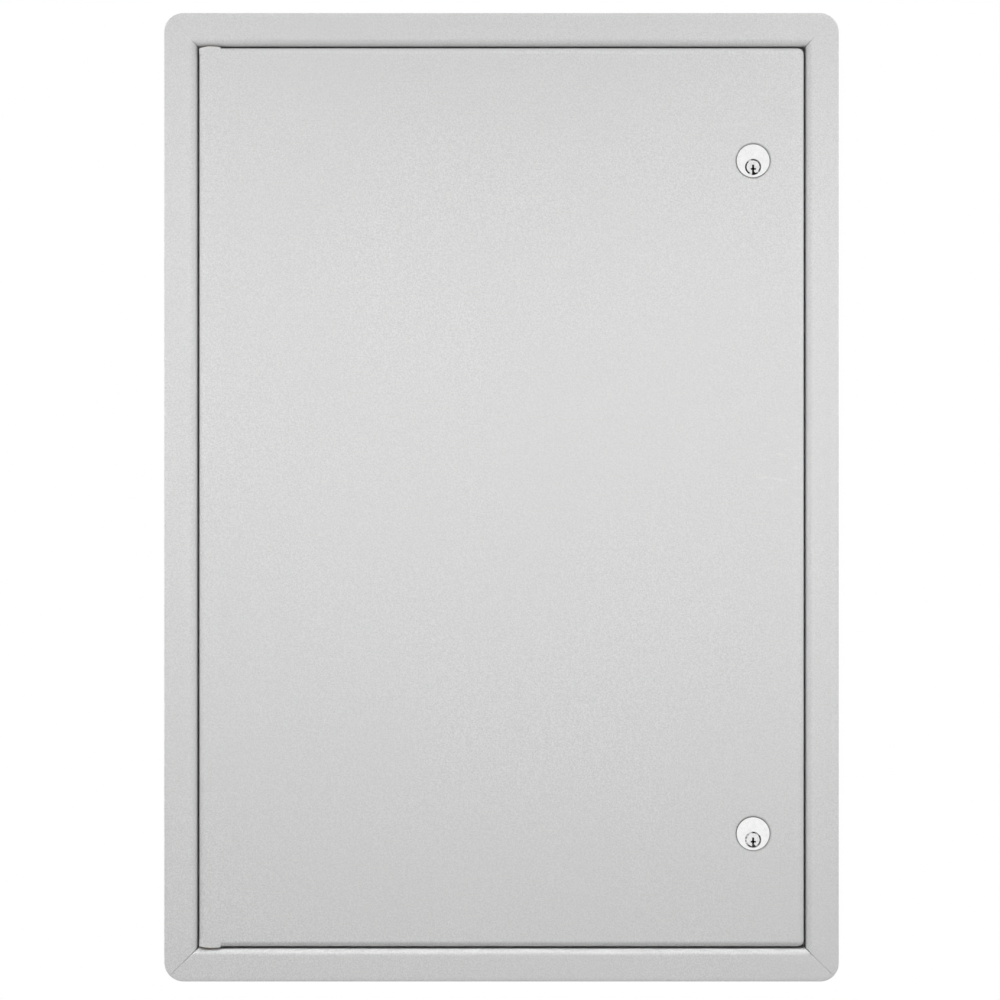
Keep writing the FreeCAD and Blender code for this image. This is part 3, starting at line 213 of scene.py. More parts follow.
def middle(node):
    """The x and z of a part's centre."""
    low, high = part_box(node)
    return (low.x + high.x) / 2, (low.z + high.z) / 2


def shade(colour, factor):
    """The colour made darker or lighter."""
    return tuple(min(1.0, part * factor) for part in colour)


def plain(name, colour, rough, vary=0.12, coarse=60.0, fine=900.0, depth=0.03, **kind):
    """A moulded or plated surface: cloudy colour, uneven gloss and a fine skin."""
    look = Look(name, **kind)
    cloud = look.noise(coarse, 3.0)
    grain = look.noise(fine)
    mottle = look.maths("MULTIPLY_ADD", grain, 0.4, look.maths("MULTIPLY", cloud, 0.6))
    look.colour(look.tones(mottle, shade(colour, 1 - vary), shade(colour, 1 + vary)))
    look.gloss(look.noise(coarse * 2.5, 3.0), rough * 0.82, min(1.0, rough * 1.18))
    look.bump(grain, depth * MM)
    return look


def powder_coat():
    """Light grey powder coat: a fine orange peel, faint clouds and a few rub marks at the lock side."""
    look = Look("powder_coat", specular=0.42)
    grey = (0.735, 0.735, 0.735)
    peel = look.noise(820.0, 3.0)
    speck = look.noise(1900.0, 1.0)
    cloud = look.noise(5.0)
    tone = look.ramp(peel, (0.28, shade(grey, 0.87)), (0.72, shade(grey, 1.13)))
    tone = look.mix(look.span(cloud, 0.35, 0.65, 0.0, 0.5), tone, shade(grey, 0.985))
    mark = look.noise(70.0, 4.0, (1.0, 1.0, 4.0))
    rub_x, rub_z, rub_reach, rub_core = 0.240, 0.027, 0.045, 0.005
    near = look.span(look.away(rub_x, rub_z), rub_reach, rub_core)
    rubbed = look.both(near, look.span(mark, 0.56, 0.66))
    tone = look.mix(look.maths("MULTIPLY", rubbed, 0.5), tone, (0.86, 0.86, 0.85))
    look.colour(tone)
    look.gloss(look.noise(38.0, 3.0), 0.40, 0.52)
    height = look.maths("MULTIPLY_ADD", speck, 0.35, peel)
    look.bump(height, 0.08 * MM)
    return look


def galvanised():
    """Galvanised sheet with its spangle and faint upright streaks."""
    look = Look("chassis_steel", metallic=0.85)
    level = look.maths("ADD", look.cells(95.0, "Color"), 0.0)  # a cell's colour, read as one number
    tone = look.ramp(level, (0.1, (0.49, 0.50, 0.51)), (0.5, (0.55, 0.56, 0.57)), (0.9, (0.61, 0.62, 0.63)))
    streak = look.noise(18.0, 4.0, (1.0, 1.0, 0.25))
    look.colour(look.mix(look.span(streak, 0.45, 0.7, 0.0, 0.35), tone, (0.50, 0.51, 0.52)))
    look.roughness(look.span(level, 0.0, 1.0, 0.34, 0.5))
    look.bump(look.noise(700.0), 0.02 * MM)
    return look


def zinc():
    """Zinc plate that turns from bluish to yellowish."""
    look = Look("zinc_steel", metallic=1.0)
    cloud = look.noise(110.0, 3.0)
    blue, grey, yellow = (0.60, 0.62, 0.66), (0.68, 0.69, 0.69), (0.70, 0.68, 0.60)
    look.colour(look.ramp(cloud, (0.3, blue), (0.5, grey), (0.72, yellow)))
    look.gloss(look.noise(420.0, 3.0), 0.24, 0.4)
    look.bump(look.noise(1500.0), 0.012 * MM)
    return look


def chrome():
    """Polished key cylinder: bright and faintly hazed, with its outer ring painted dark grey as shade for
    the gap round it, and a dull threaded barrel.
    """
    look = Look("lock_chrome", metallic=1.0)
    painted_shade_radius, face_depth = 13.8 * MM, 1.2 * MM
    haze = look.noise(260.0, 4.0)
    tone = look.tones(haze, (0.87, 0.87, 0.875), (0.94, 0.94, 0.94))
    upper, lower = look.away(*middle("upper_lock_cylinder")), look.away(*middle("lower_lock_cylinder"))
    # Painted shade: beyond this radius the cylinder's face is dark grey, standing in for the dark gap
    # between cylinder and hole.
    rim = look.maths("GREATER_THAN", look.maths("MINIMUM", upper, lower), painted_shade_radius)
    look.colour(look.mix(rim, tone, (0.42, 0.42, 0.42)))
    behind = look.maths("GREATER_THAN", look.y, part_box("door_panel")[0].y + face_depth)
    polish = look.span(haze, NOISE_LOW, NOISE_HIGH, 0.05, 0.12)
    look.roughness(look.maths("MULTIPLY_ADD", behind, 0.24, polish))
    look.bump(look.noise(1400.0), 0.004 * MM)
    return look


def plug_look(node):
    """Plated plug: bright face, a ring with painted reflections in dark and bright patches, and a keyway
    painted near-black as shade.
    """
    look = Look(node, metallic=1.0)
    ring_radius, slot_radius = 5.42 * MM, 5.40 * MM
    slot_front, slot_back = 0.12 * MM, 22.5 * MM
    radius = look.away(*middle(node))
    depth = look.maths("SUBTRACT", look.y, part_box(node)[0].y)
    face = look.tones(look.noise(500.0, 3.0), (0.76, 0.76, 0.77), (0.86, 0.86, 0.86))
    # Painted reflections: the plug's ring is broken into near-black and bright patches.
    patches = look.ramp(look.noise(330.0, 1.0), (0.46, (0.09, 0.085, 0.08)), (0.60, (0.82, 0.82, 0.82)))
    ring = look.maths("GREATER_THAN", radius, ring_radius)
    tone = look.mix(ring, face, patches)
    inner = look.maths("LESS_THAN", radius, slot_radius)
    keyway = look.both(inner, look.inside(depth, slot_front, slot_back))
    # Painted shade: the keyway's inside is near-black.
    look.colour(look.mix(keyway, tone, (0.020, 0.014, 0.010)))
    polish = look.span(look.noise(600.0), NOISE_LOW, NOISE_HIGH, 0.07, 0.16)
    look.roughness(look.maths("MULTIPLY_ADD", keyway, 0.6, polish))
    return look


def circuit_board():
    """Solder mask over copper tracks, with a scatter of plated holes."""
    look = Look("circuit_board", specular=0.55, coat=0.25)
    masks = []
    for scale, turn, offset in ((62.0, 0.0, 0.5), (62.0, 90.0, 0.31), (150.0, 0.0, 0.37)):
        mapping = look.add("ShaderNodeMapping")
        mapping.inputs["Rotation"].default_value = (math.radians(90), 0.0, math.radians(turn))
        look.feed(mapping.inputs["Vector"], look.place)
        bricks = look.add("ShaderNodeTexBrick", offset=offset)
        look.feed(bricks.inputs["Vector"], mapping.outputs[0])
        bricks.inputs["Scale"].default_value = scale
        bricks.inputs["Mortar Size"].default_value = 0.035
        bricks.inputs["Row Height"].default_value = 0.22
        bricks.inputs["Brick Width"].default_value = 1.4
        masks.append(bricks.outputs["Fac"])
    where = look.noise(26.0, 1.0)
    chosen = look.mix(look.span(where, 0.49, 0.51), masks[0], masks[1])
    tracks = look.maths("MAXIMUM", chosen, look.maths("MULTIPLY", masks[2], look.span(where, 0.60, 0.62)))
    green = look.tones(look.noise(30.0), (0.012, 0.105, 0.045), (0.02, 0.145, 0.065))
    tone = look.mix(tracks, green, (0.035, 0.25, 0.11))
    holes = look.maths("LESS_THAN", look.cells(165.0), 0.085)
    look.colour(look.mix(holes, tone, (0.62, 0.60, 0.48)))
    look.gloss(look.noise(300.0), 0.26, 0.36)
    look.bump(look.maths("MULTIPLY_ADD", holes, 0.6, tracks), 0.05 * MM)
    return look


def sleeve():
    """Capacitor cans: a dark blue shrunk sleeve and a bare aluminium top."""
    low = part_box("capacitors")[0]
    look = Look("capacitor_sleeve", coat=0.3)
    bare_depth = 0.6 * MM
    blue = look.tones(look.noise(90.0, 3.0), (0.012, 0.02, 0.075), (0.022, 0.035, 0.11))
    top = look.maths("LESS_THAN", look.y, low.y + bare_depth)
    metal = look.tones(look.noise(700.0), (0.52, 0.53, 0.54), (0.68, 0.69, 0.70))
    look.colour(look.mix(top, blue, metal))
    look.feed(look.shader.inputs["Metallic"], top)
    look.gloss(look.noise(400.0), 0.26, 0.38)
    look.bump(look.noise(900.0), 0.01 * MM)
    return look


def heat_sink():
    """Aluminium with fine streaks that run from front to back."""
    look = Look("sink_aluminium", metallic=1.0)
    aluminium, rough = (0.58, 0.59, 0.60), 0.34
    streak = look.noise(420.0, 3.0, (1.0, 0.06, 1.0))
    look.colour(look.tones(streak, shade(aluminium, 0.86), shade(aluminium, 1.1)))
    look.gloss(streak, rough * 0.8, rough * 1.25)
    look.bump(streak, 0.012 * MM)
    return look


def laminations():
    """Varnished core plates, with the taped winding standing out above and below."""
    low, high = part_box("power_transformer")
    look = Look("core_steel")
    plate_pitch, core_reach = 0.9 * MM, 32.2 * MM
    plates = look.maths("SINE", look.maths("MULTIPLY", look.y, 2 * math.pi / plate_pitch))
    core = look.ramp(look.span(plates, -1.0, 1.0), (0.2, (0.10, 0.085, 0.07)), (0.8, (0.26, 0.23, 0.2)))
    tape = look.tones(look.noise(60.0, 3.0), (0.55, 0.34, 0.06), (0.68, 0.45, 0.1))
    off = look.maths("ABSOLUTE", look.maths("SUBTRACT", look.z, (low.z + high.z) / 2))
    look.colour(look.mix(look.maths("GREATER_THAN", off, core_reach), core, tape))
    look.gloss(look.noise(200.0), 0.35, 0.5)
    look.bump(plates, 0.03 * MM)
    return look


def fuses():
    """Moulded holders with plated clips and the glass tube's ends above them."""
    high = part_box("board_fuses")[1]
    look = Look("fuse_holder")
    holder_height = 4.1 * MM
    body = look.tones(look.noise(300.0), (0.62, 0.60, 0.53), (0.76, 0.74, 0.66))
    clip = look.tones(look.noise(500.0), (0.55, 0.55, 0.53), (0.74, 0.73, 0.70))
    metal = look.maths("LESS_THAN", look.y, high.y - holder_height)
    look.colour(look.mix(metal, body, clip))
    look.feed(look.shader.inputs["Metallic"], metal)
    look.gloss(look.noise(400.0), 0.28, 0.42)
    return look


def overlay():
    """Dark textured film: a darker band behind the keys, plain outlines round the lamps and the rim."""
    low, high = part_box("operator_overlay")
    lamp_x, lamp_z = middle("indicator_lenses")
    key_z = middle("reset_button")[1]
    look = Look("overlay_film", specular=0.4)
    width, height = high.x - low.x, high.z - low.z
    band_margin, band_height = 10 * MM, 30 * MM
    lamps_width, lamps_height, lamps_line = 94 * MM, 40 * MM, 0.9 * MM
    rim_margin, rim_line = 8 * MM, 0.8 * MM
    grain = look.noise(1300.0)
    film = look.tones(grain, (0.115, 0.125, 0.14), (0.15, 0.16, 0.18))
    band = look.panel(0.0, key_z, width - band_margin, band_height)
    film = look.mix(look.maths("MULTIPLY", band, 0.9), film, (0.07, 0.078, 0.09))
    lines = look.frame_line(lamp_x, lamp_z, lamps_width, lamps_height, lamps_line)
    middle_z = (low.z + high.z) / 2
    rim = look.frame_line(0.0, middle_z, width - rim_margin, height - rim_margin, rim_line)
    look.colour(look.mix(look.maths("MAXIMUM", lines, rim), film, (0.60, 0.61, 0.62)))
    look.gloss(grain, 0.42, 0.56)
    look.bump(grain, 0.03 * MM)
    return look


def display():
    """Unlit liquid crystal: grey-green, with the faint lattice of its character cells."""
    look = Look("display_green")
    cell_width, cell_height = 6.0 * MM, 9.0 * MM
    cell_x = look.maths("FRACT", look.maths("MULTIPLY", look.x, 1 / cell_width))
    cell_z = look.maths("FRACT", look.maths("MULTIPLY", look.z, 1 / cell_height))
    beside, above = look.maths("GREATER_THAN", cell_x, 0.86), look.maths("GREATER_THAN", cell_z, 0.88)
    gap = look.maths("MAXIMUM", beside, above)
    glow = look.tones(look.noise(14.0), (0.21, 0.29, 0.10), (0.27, 0.36, 0.14))
    look.colour(look.mix(look.maths("MULTIPLY", gap, 0.7), glow, (0.31, 0.40, 0.17)))
    look.gloss(look.noise(200.0), 0.2, 0.3)
    return look


def lenses():
    """Lamp lenses: red above, amber below, each a little uneven."""
    look = Look("lens_red", specular=0.6, coat=0.4)
    red = look.tones(look.noise(500.0), (0.42, 0.012, 0.01), (0.6, 0.03, 0.02))
    amber = look.tones(look.noise(500.0), (0.62, 0.22, 0.01), (0.78, 0.33, 0.02))
    look.colour(look.mix(look.maths("LESS_THAN", look.z, middle("indicator_lenses")[1]), red, amber))
    look.gloss(look.noise(300.0), 0.12, 0.22)
    return look


def glass():
    """The display's window: clear, with a few hazy patches."""
    look = Look("window_glass", transmission=1.0, ior=1.45)
    look.colour(look.tones(look.noise(20.0), (0.93, 0.96, 0.95), (0.97, 0.99, 0.98)))
    look.roughness(look.span(look.noise(90.0, 4.0), 0.4, 0.8, 0.01, 0.05))
    return look


def battery():
    """Grey moulded case with a fine spark-eroded skin and a paler dusty top."""
    look = Look("battery_case", specular=0.45)
    top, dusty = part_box("left_battery")[1].z, 6 * MM
    tone = look.tones(look.noise(35.0, 3.0), (0.048, 0.051, 0.056), (0.068, 0.072, 0.078))
    near_top = look.span(look.z, top - dusty, top)
    dust = look.both(near_top, look.span(look.noise(120.0, 4.0), 0.4, 0.7))
    look.colour(look.mix(look.maths("MULTIPLY", dust, 0.35), tone, (0.2, 0.19, 0.17)))
    look.gloss(look.noise(260.0), 0.42, 0.58)
    look.bump(look.noise(1100.0), 0.05 * MM)
    return look


LOOKS = {
    "powder_coat": powder_coat(),
    "zinc_steel": zinc(),
    "chassis_steel": galvanised(),
    "lock_chrome": chrome(),
    "bumper_rubber": plain("bumper_rubber", (0.028, 0.028, 0.028), 0.75, depth=0.06),
    "bronze": plain("bronze", (0.50, 0.34, 0.17), 0.38, vary=0.25, coarse=700.0, metallic=1.0),
    "brass": plain("brass", (0.70, 0.53, 0.24), 0.26, vary=0.1, coarse=240.0, depth=0.01, metallic=1.0),
    "circuit_board": circuit_board(),
    "terminal_green": plain("terminal_green", (0.03, 0.27, 0.09), 0.42),
    "relay_black": plain("relay_black", (0.028, 0.028, 0.032), 0.36, fine=1600.0),
    "relay_blue": plain("relay_blue", (0.02, 0.10, 0.36), 0.38, fine=1400.0),
    "capacitor_sleeve": sleeve(),
    "sink_aluminium": heat_sink(),
    "core_steel": laminations(),
    "fuse_holder": fuses(),
    "mains_cream": plain("mains_cream", (0.70, 0.66, 0.53), 0.4),
    "battery_case": battery(),
    "battery_lead": plain("battery_lead", (0.48, 0.49, 0.50), 0.36, coarse=200.0, metallic=1.0),
    "overlay_film": overlay(),
    "bezel_black": plain("bezel_black", (0.02, 0.02, 0.022), 0.24, fine=1800.0, depth=0.012, coat=0.2),
    "display_green": display(),
    "window_glass": glass(),
    "lens_red": lenses(),
    "key_grey": plain("key_grey", (0.55, 0.56, 0.57), 0.4, vary=0.05, depth=0.04),
    "key_red": plain("key_red", (0.52, 0.035, 0.025), 0.38, vary=0.1, depth=0.04),
}

for node, shown in frame["nodes"].items():
    finish = plug_look(node) if SLOTS[node] == "lock_plug" else LOOKS[SLOTS[node]]
    if node == "knockout_blanks":
        finish = LOOKS["powder_coat"]  # half-sheared out of the box, so painted with it
    shown.data.materials.clear()
    shown.data.materials.append(finish.material)


# ---------------------------------------------------------------- folded sheet pieces
def sheet_piece(name, grid, body, node):
    """Turns a bmesh into a shown piece that stands for a CAD node, creased where it turns sharply."""
    crease = math.radians(35)
    bmesh.ops.recalc_face_normals(grid, faces=grid.faces)
    mesh = bpy.data.meshes.new(name)
    grid.to_mesh(mesh)
    grid.free()
    mesh.materials.append(LOOKS["powder_coat"].material)
    for face in mesh.polygons:
        face.use_smooth = True
    mesh.set_sharp_from_angle(angle=crease)
    piece = bpy.data.objects.new(name, mesh)
    bpy.context.scene.collection.objects.link(piece)
    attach(piece, body)
    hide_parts(node)


def join_loops(grid, first, second, closed=True):
    """Fills the strip between two rows of as many points each."""
    count = len(first) if closed else len(first) - 1
    for index in range(count):
        after = (index + 1) % len(first)
        grid.faces.new((first[index], first[after], second[after], second[index]))


# The trim's section in mm: its face, sheet, front roll, bend into the lip, lip and softened outer edge.
TRIM_WIDTH, TRIM_SHEET, TRIM_ROLL, LIP_BEND, LIP, EDGE = 27.5, 2.0, 6.0, 1.0, 12.0, 0.7
TRIM_FRONT, LIP_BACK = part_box("trim_top")[0].y / MM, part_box("trim_top")[1].y / MM
# Columns of points close up on each mitre: the length that they share, their places along it as shares,
# and how much of the joint's groove is cut at the last ones.
MITRE_RUN = 8.0
ENDS = [0.0, 0.1, 0.2, 0.3, 0.4, 0.5, 0.6, 0.7, 0.8, 0.88, 0.94, 0.97, 1.0]
DIPS = {0.97: 0.18, 1.0: 1.0}
# The groove stops this far short of the outer edge, and fades out over this length before it.
GROOVE_END, GROOVE_FADE = 0.9, 1.6


def arc(centre, radius, start, end, steps):
    """Points along an arc, its ends given in degrees."""
    points = []
    for step in range(steps + 1):
        angle = math.radians(start + (end - start) * step / steps)
        points.append((centre[0] + radius * math.cos(angle), centre[1] + radius * math.sin(angle)))
    return points


def trim_outline():
    """The folded section as (outward from the opening, y), front side first, and that side's count."""
    rolled = TRIM_FRONT + TRIM_ROLL
    bent = LIP_BACK - TRIM_SHEET - LIP_BEND
    # Points this far from the outer edge, the roll and the bend keep the flats between them flat.
    edge_support, roll_support, bend_support = 3.5, 0.5, 0.4
    front = [(TRIM_WIDTH, TRIM_FRONT + 1.7)]
    front += arc((TRIM_WIDTH - EDGE, TRIM_FRONT + EDGE), EDGE, 0, -90, 3)
    front += [(TRIM_WIDTH - edge_support, TRIM_FRONT), (TRIM_ROLL + roll_support, TRIM_FRONT)]
    front += arc((TRIM_ROLL, rolled), TRIM_ROLL, 270, 180, 14)
    front += [(0.0, rolled + roll_support), (0.0, bent - bend_support)]
    front += arc((-LIP_BEND, bent), LIP_BEND, 0, 90, 4)
    flat = bent + LIP_BEND
    # The lip's end and the outer edge are softened by a few tenths of a millimetre.
    front += [(-LIP_BEND - bend_support, flat), (0.3 - LIP, flat), (0.05 - LIP, flat + 0.15)]
    back = [(-LIP, LIP_BACK - 1.5), (-LIP, LIP_BACK - 0.2), (0.2 - LIP, LIP_BACK)]
    back += arc((-LIP_BEND, bent), LIP_BEND + TRIM_SHEET, 90, 0, 5)
    back += arc((TRIM_ROLL, rolled), TRIM_ROLL - TRIM_SHEET, 180, 270, 5)
    behind = TRIM_FRONT + TRIM_SHEET
    back += [(TRIM_ROLL + roll_support, behind), (TRIM_WIDTH - edge_support, behind)]
    back += [(TRIM_WIDTH - 0.2, behind)]
    return front + back, len(front)


def trim_member(name, node, half, across, along, out, start_corner, end_corner):
    """One side of the trim, mitred at both ends. A corner is its outer radius and its groove's depth."""
    outline, front_count = trim_outline()
    grid = bmesh.new()
    columns = [(-1, share) for share in reversed(ENDS)] + [(1, share) for share in ENDS]
    rows = []
    for index, (v, y) in enumerate(outline):
        before, after = outline[index - 1], outline[(index + 1) % len(outline)]
        slope = Vector((after[0] - before[0], after[1] - before[1])).normalized()
        inward = Vector((slope.y, -slope.x)) if index < front_count else Vector((0.0, 0.0))
        row = []
        for side, share in columns:
            radius, groove = end_corner if side > 0 else start_corner
            centre = TRIM_WIDTH - radius
            if v > centre:
                angle = math.radians(45 * share)
                reach = half + centre + (v - centre) * math.sin(angle)
                level = centre + (v - centre) * math.cos(angle)
            else:
                reach = (half - MITRE_RUN) + share * (MITRE_RUN + v)
                level = v
            fade = max(0.0, min(1.0, (TRIM_WIDTH - GROOVE_END - v) / GROOVE_FADE))
            dip = groove * DIPS.get(share, 0.0) * fade
            level += inward.x * dip
            depth = y + inward.y * dip
            spot = Vector((0, 1, 0)) * depth + along * (side * reach) + out * (across + level)
            row.append(grid.verts.new(spot * MM))
        rows.append(row)
    for index, row in enumerate(rows):
        join_loops(grid, row, rows[(index + 1) % len(rows)], closed=False)
    for column in (0, -1):
        grid.faces.new([row[column] for row in rows])
    sheet_piece(name, grid, "cabinet", node)


trim_low, trim_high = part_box("trim_left")[0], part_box("trim_right")[1]
half_width = (trim_high.x - trim_low.x) / 2 / MM - TRIM_WIDTH
half_height = (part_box("trim_top")[1].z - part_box("trim_bottom")[0].z) / 2 / MM - TRIM_WIDTH
right, up = Vector((1, 0, 0)), Vector((0, 0, 1))
# Each corner's outer radius and the depth of its groove.
top_left, top_right = (15.7, 0.2), (16.3, 0.22)
low_left, low_right = (16.4, 0.65), (15.6, 0.65)
trim_member("folded_trim_top", "trim_top", half_width, half_height, right, up, top_left, top_right)
trim_member("folded_trim_bottom", "trim_bottom", half_width, half_height, -right, -up, low_right, low_left)
trim_member("folded_trim_right", "trim_right", half_height, half_width, -up, right, top_right, low_right)
trim_member("folded_trim_left", "trim_left", half_height, half_width, up, -right, low_left, top_left)


def rounded_loop(grid, half_x, half_z, inset, y, radius):
    """A loop of points round a rectangle with rounded corners."""
    x, z, steps = half_x - inset - radius, half_z - inset - radius, 8
    points = []
    for cx, cz, start in ((x, z, 0), (-x, z, 90), (-x, -z, 180), (x, -z, 270)):
        points += arc((cx, cz), radius, start, start + 90, steps)
    return [grid.verts.new(Vector((px, y, pz)) * MM) for px, pz in points]


def circle_loop(grid, x, z, radius, y):
    steps = 72
    points = arc((x, z), radius, 0, 360, steps)[:-1]
    return [grid.verts.new(Vector((px, y, pz)) * MM) for px, pz in points]


def loop_edges(grid, loop):
    """The edges round a loop, made where there are none yet."""
    edges = []
    for index, vertex in enumerate(loop):
        pair = (vertex, loop[(index + 1) % len(loop)])
        edges.append(grid.edges.get(pair) or grid.edges.new(pair))
    return edges


def ear_outline():
    """The hinge ear over the top pin: a low crown that falls away towards the outer corner."""
    left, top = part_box("door_panel")[0].x / MM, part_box("door_panel")[1].z / MM
    outer, inner, root = left + 0.2, left + 18.3, top - 7.0
    inner_shoulder, outer_shoulder = top - 1.2, top - 2.0
    crown_x, crown_radius, crown_start, crown_end = left + 10.7, 36.0, 78.4, 106.6
    crown = arc((crown_x, top - crown_radius), crown_radius, crown_start, crown_end, 10)
    return [(inner, root), (inner, inner_shoulder)] + crown + [(outer, outer_shoulder), (outer, root)]


def add_ear(grid, front, flip):
    """A flat plate just behind the skin's front plane, with a softened rim."""
    points = ear_outline()
    centre = (Vector(points[0]) + Vector(points[-3])) / 2
    # Each loop's inset from the outline and depth behind the front plane.
    profile = ((0.0, 1.5), (0.0, 0.45), (0.35, 0.12), (0.8, 0.02), (1.6, 0.02))
    loops = []
    for inset, depth in profile:
        loop = []
        for x, z in points:
            towards = (centre - Vector((x, z))).normalized() * inset
            spot = Vector((x + towards.x, front + depth, flip * (z + towards.y)))
            loop.append(grid.verts.new(spot * MM))
        loops.append(loop)
    for first, second in zip(loops, loops[1:]):
        join_loops(grid, first, second)
    grid.faces.new(loops[-1])
    grid.faces.new(loops[0])


def door_skin():
    """The tray: flat skin with two lock holes, rolled edges, folded sides and the two ears."""
    low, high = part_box("door_panel")
    front, back = low.y / MM, high.y / MM
    ear_rise = 1.2
    half_x, half_z = (high.x - low.x) / 2 / MM, (high.z - low.z) / 2 / MM - ear_rise
    roll, sheet, corner, hole = 5.0, 1.5, 5.2, 15.2
    # Loops this far from the roll and from the holes keep the flat between them flat.
    roll_support, hole_support = 1.0, 1.2
    soft, sharpest, sharpest_inside = 0.2, 0.5, 0.45
    outer_steps, inner_steps = 10, 6
    grid = bmesh.new()

    def loop(inset, y, radius):
        return rounded_loop(grid, half_x, half_z, inset, y, radius)

    outer = [loop(roll + roll_support, front, sharpest)]
    inner = [loop(roll + roll_support, front + sheet, sharpest)]
    for step in range(outer_steps + 1):
        angle = math.radians(90 * step / outer_steps)
        inset = roll * (1 - math.sin(angle))
        y = front + roll * (1 - math.cos(angle))
        outer.append(loop(inset, y, max(corner - inset, sharpest)))
    outer.append(loop(0.0, back - soft, corner))
    outer.append(loop(soft, back, corner - soft))
    small = roll - sheet
    for step in range(inner_steps + 1):
        angle = math.radians(90 * step / inner_steps)
        inset = sheet + small * (1 - math.sin(angle))
        y = front + sheet + small * (1 - math.cos(angle))
        inner.append(loop(inset, y, max(corner - inset, sharpest_inside)))
    inner.append(loop(sheet, back - soft, corner - sheet))
    inner.append(loop(sheet - soft, back, corner - sheet + soft))
    for loops in (outer, inner):
        for first, second in zip(loops, loops[1:]):
            join_loops(grid, first, second)
    join_loops(grid, outer[-1], inner[-1])
    rims, floors = [], []
    for cylinder in ("upper_lock_cylinder", "lower_lock_cylinder"):
        x, z = (place / MM for place in middle(cylinder))
        support = hole + hole_support
        # The hole's rings as (radius, y): a softened edge at the front, then through the sheet.
        rings = [(support, front), (hole + 0.25, front), (hole + 0.08, front + 0.08), (hole, front + 0.3)]
        rings += [(hole, front + sheet), (support, front + sheet)]
        holes = [circle_loop(grid, x, z, radius, y) for radius, y in rings]
        for first, second in zip(holes, holes[1:]):
            join_loops(grid, first, second)
        rims.append(holes[0])
        floors.append(holes[-1])
    for boundary, openings in ((outer[0], rims), (inner[0], floors)):
        edges = loop_edges(grid, boundary)
        for opening in openings:
            edges += loop_edges(grid, opening)
        bmesh.ops.triangle_fill(grid, use_beauty=True, use_dissolve=False, edges=edges, normal=(0, -1, 0))
    for flip in (1, -1):
        add_ear(grid, front, flip)
    sheet_piece("folded_door_skin", grid, "door", "door_panel")


door_skin()


# ---------------------------------------------------------------- floor, light and camera
def floor_disc():
    """A plain pale floor, well below the panel."""
    radius, centre = 0.8, (0.0, -0.2, -1.1)
    grid = bmesh.new()
    bmesh.ops.create_circle(grid, cap_ends=True, segments=96, radius=radius)
    bmesh.ops.translate(grid, verts=grid.verts, vec=centre)
    mesh = bpy.data.meshes.new("floor")
    grid.to_mesh(mesh)
    grid.free()
    floor = bpy.data.objects.new("floor", mesh)
    bpy.context.scene.collection.objects.link(floor)
    mesh.materials.append(plain("floor_paint", (0.72, 0.72, 0.71), 0.8, vary=0.02, coarse=4.0).material)


def softbox(name, place, aim, width, height, power, spread=180):
    """A rectangular lamp that the camera doesn't see, its spread in degrees."""
    light = bpy.data.lights.new(name, "AREA")
    light.shape = "RECTANGLE"
    light.size, light.size_y, light.energy = width, height, power
    light.spread = math.radians(spread)
    lamp = bpy.data.objects.new(name, light)
    lamp.location = place
    lamp.rotation_mode = "QUATERNION"
    lamp.rotation_quaternion = (Vector(aim) - Vector(place)).to_track_quat("-Z", "Y")
    lamp.visible_camera = False
    bpy.context.scene.collection.objects.link(lamp)


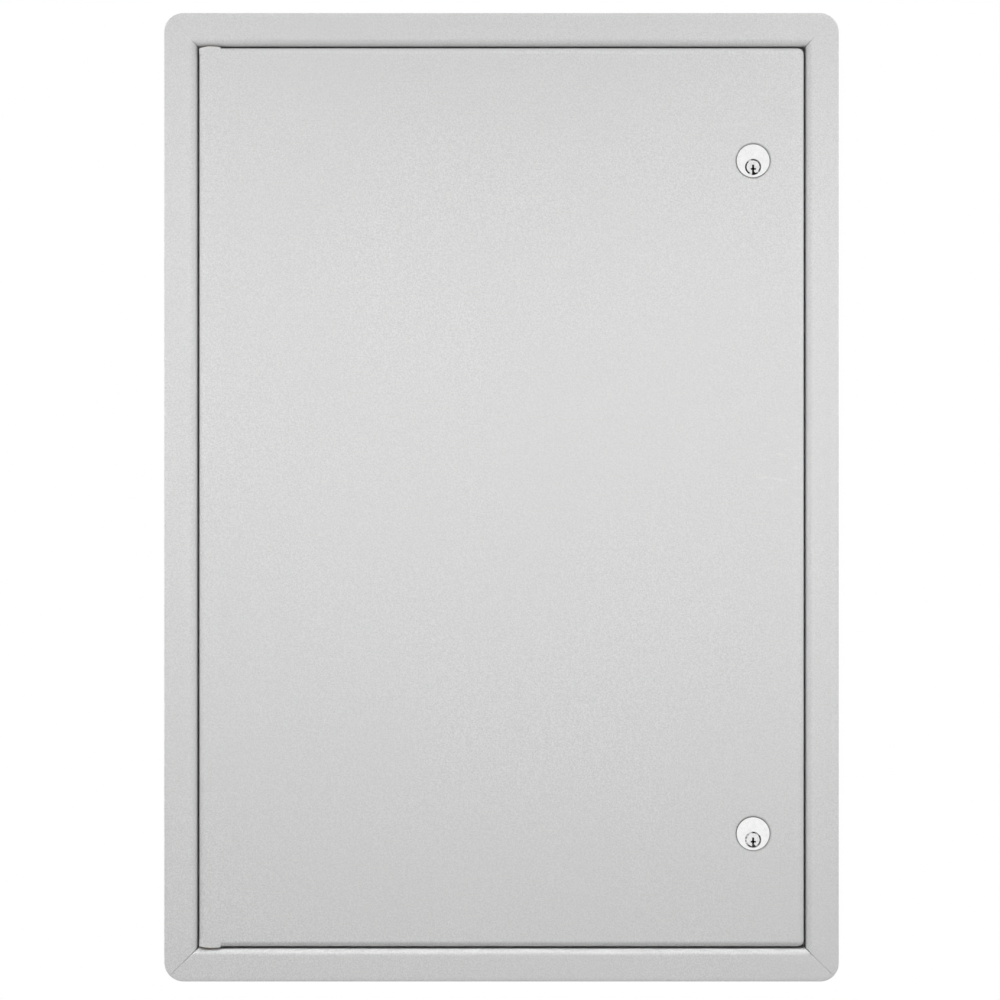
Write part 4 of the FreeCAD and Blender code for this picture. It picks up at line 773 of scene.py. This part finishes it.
def studio_world():
    """White behind the object; as light, a dim room with a bright patch in front for the chrome."""
    world = bpy.data.worlds.new("studio")
    bpy.context.scene.world = world
    world.use_nodes = True
    tree = world.node_tree
    tree.nodes.clear()
    white = (1.0, 1.0, 1.0, 1.0)
    split = add_node(tree, "ShaderNodeSeparateXYZ")
    tree.links.new(add_node(tree, "ShaderNodeTexCoord").outputs["Generated"], split.inputs[0])
    # (1 - y) / 2 is 0 for the direction straight behind the object and 1 for straight in front of it.
    forward = add_node(tree, "ShaderNodeMath", operation="MULTIPLY_ADD")
    tree.links.new(split.outputs[1], forward.inputs[0])
    forward.inputs[1].default_value = -0.5
    forward.inputs[2].default_value = 0.5
    facing = add_node(tree, "ShaderNodeValToRGB")
    tree.links.new(forward.outputs[0], facing.inputs[0])
    behind = [(0.0, WORLD_BACK), (0.48, WORLD_SIDE), (0.62, WORLD_DIM)]
    ahead = [(0.955, WORLD_DIM), (0.985, WORLD_FRONT), (1.0, WORLD_FRONT)]
    set_stops(facing, behind + ahead)
    shown = add_node(tree, "ShaderNodeBackground")
    lit = add_node(tree, "ShaderNodeBackground")
    shown.inputs[0].default_value = white
    lit.inputs[0].default_value = white
    tree.links.new(facing.outputs[0], lit.inputs[1])
    choose = add_node(tree, "ShaderNodeMixShader")
    tree.links.new(add_node(tree, "ShaderNodeLightPath").outputs["Is Camera Ray"], choose.inputs[0])
    tree.links.new(lit.outputs[0], choose.inputs[1])
    tree.links.new(shown.outputs[0], choose.inputs[2])
    tree.links.new(choose.outputs[0], add_node(tree, "ShaderNodeOutputWorld").inputs[0])


def camera():
    """Straight on, far enough back that the sides of the trim stay hidden."""
    sensor_width, focal_length = 36.0, 149.36
    nearest, farthest = 0.05, 50.0
    distance, across, height = 3.629, -0.0013, -0.0023
    lens = bpy.data.cameras.new("camera")
    lens.sensor_width, lens.lens = sensor_width, focal_length
    lens.clip_start, lens.clip_end = nearest, farthest
    eye = bpy.data.objects.new("camera", lens)
    eye.location = (across, -distance, height)
    eye.rotation_euler = (math.radians(90), 0.0, 0.0)
    bpy.context.scene.collection.objects.link(eye)
    bpy.context.scene.camera = eye


# How bright the room is behind the object, beside it, round the front and straight in front.
WORLD_BACK, WORLD_SIDE, WORLD_DIM, WORLD_FRONT = 0.7, 0.45, 0.24, 0.97
# Where the lamps stand, and the points on the door that they are aimed at.
ABOVE, LEFT, RIGHT = (0.0, -1.0, 0.85), (-1.0, -0.6, 0.18), (1.0, -0.6, 0.18)
AIM_MIDDLE, AIM_LOW, AIM_HIGH = (0.0, -0.12, -0.1), (0.0, -0.12, -0.5), (0.0, -0.12, 0.12)
floor_disc()
studio_world()
softbox("top_softbox", ABOVE, AIM_MIDDLE, width=1.8, height=0.35, power=2.65, spread=90)
softbox("low_aimed_softbox", ABOVE, AIM_LOW, width=1.0, height=0.35, power=0.76, spread=60)
softbox("left_softbox", LEFT, AIM_HIGH, width=0.4, height=0.8, power=2.25)
softbox("right_softbox", RIGHT, AIM_HIGH, width=0.4, height=0.8, power=2.6)
camera()
bpy.context.scene.view_settings.view_transform = "Standard"
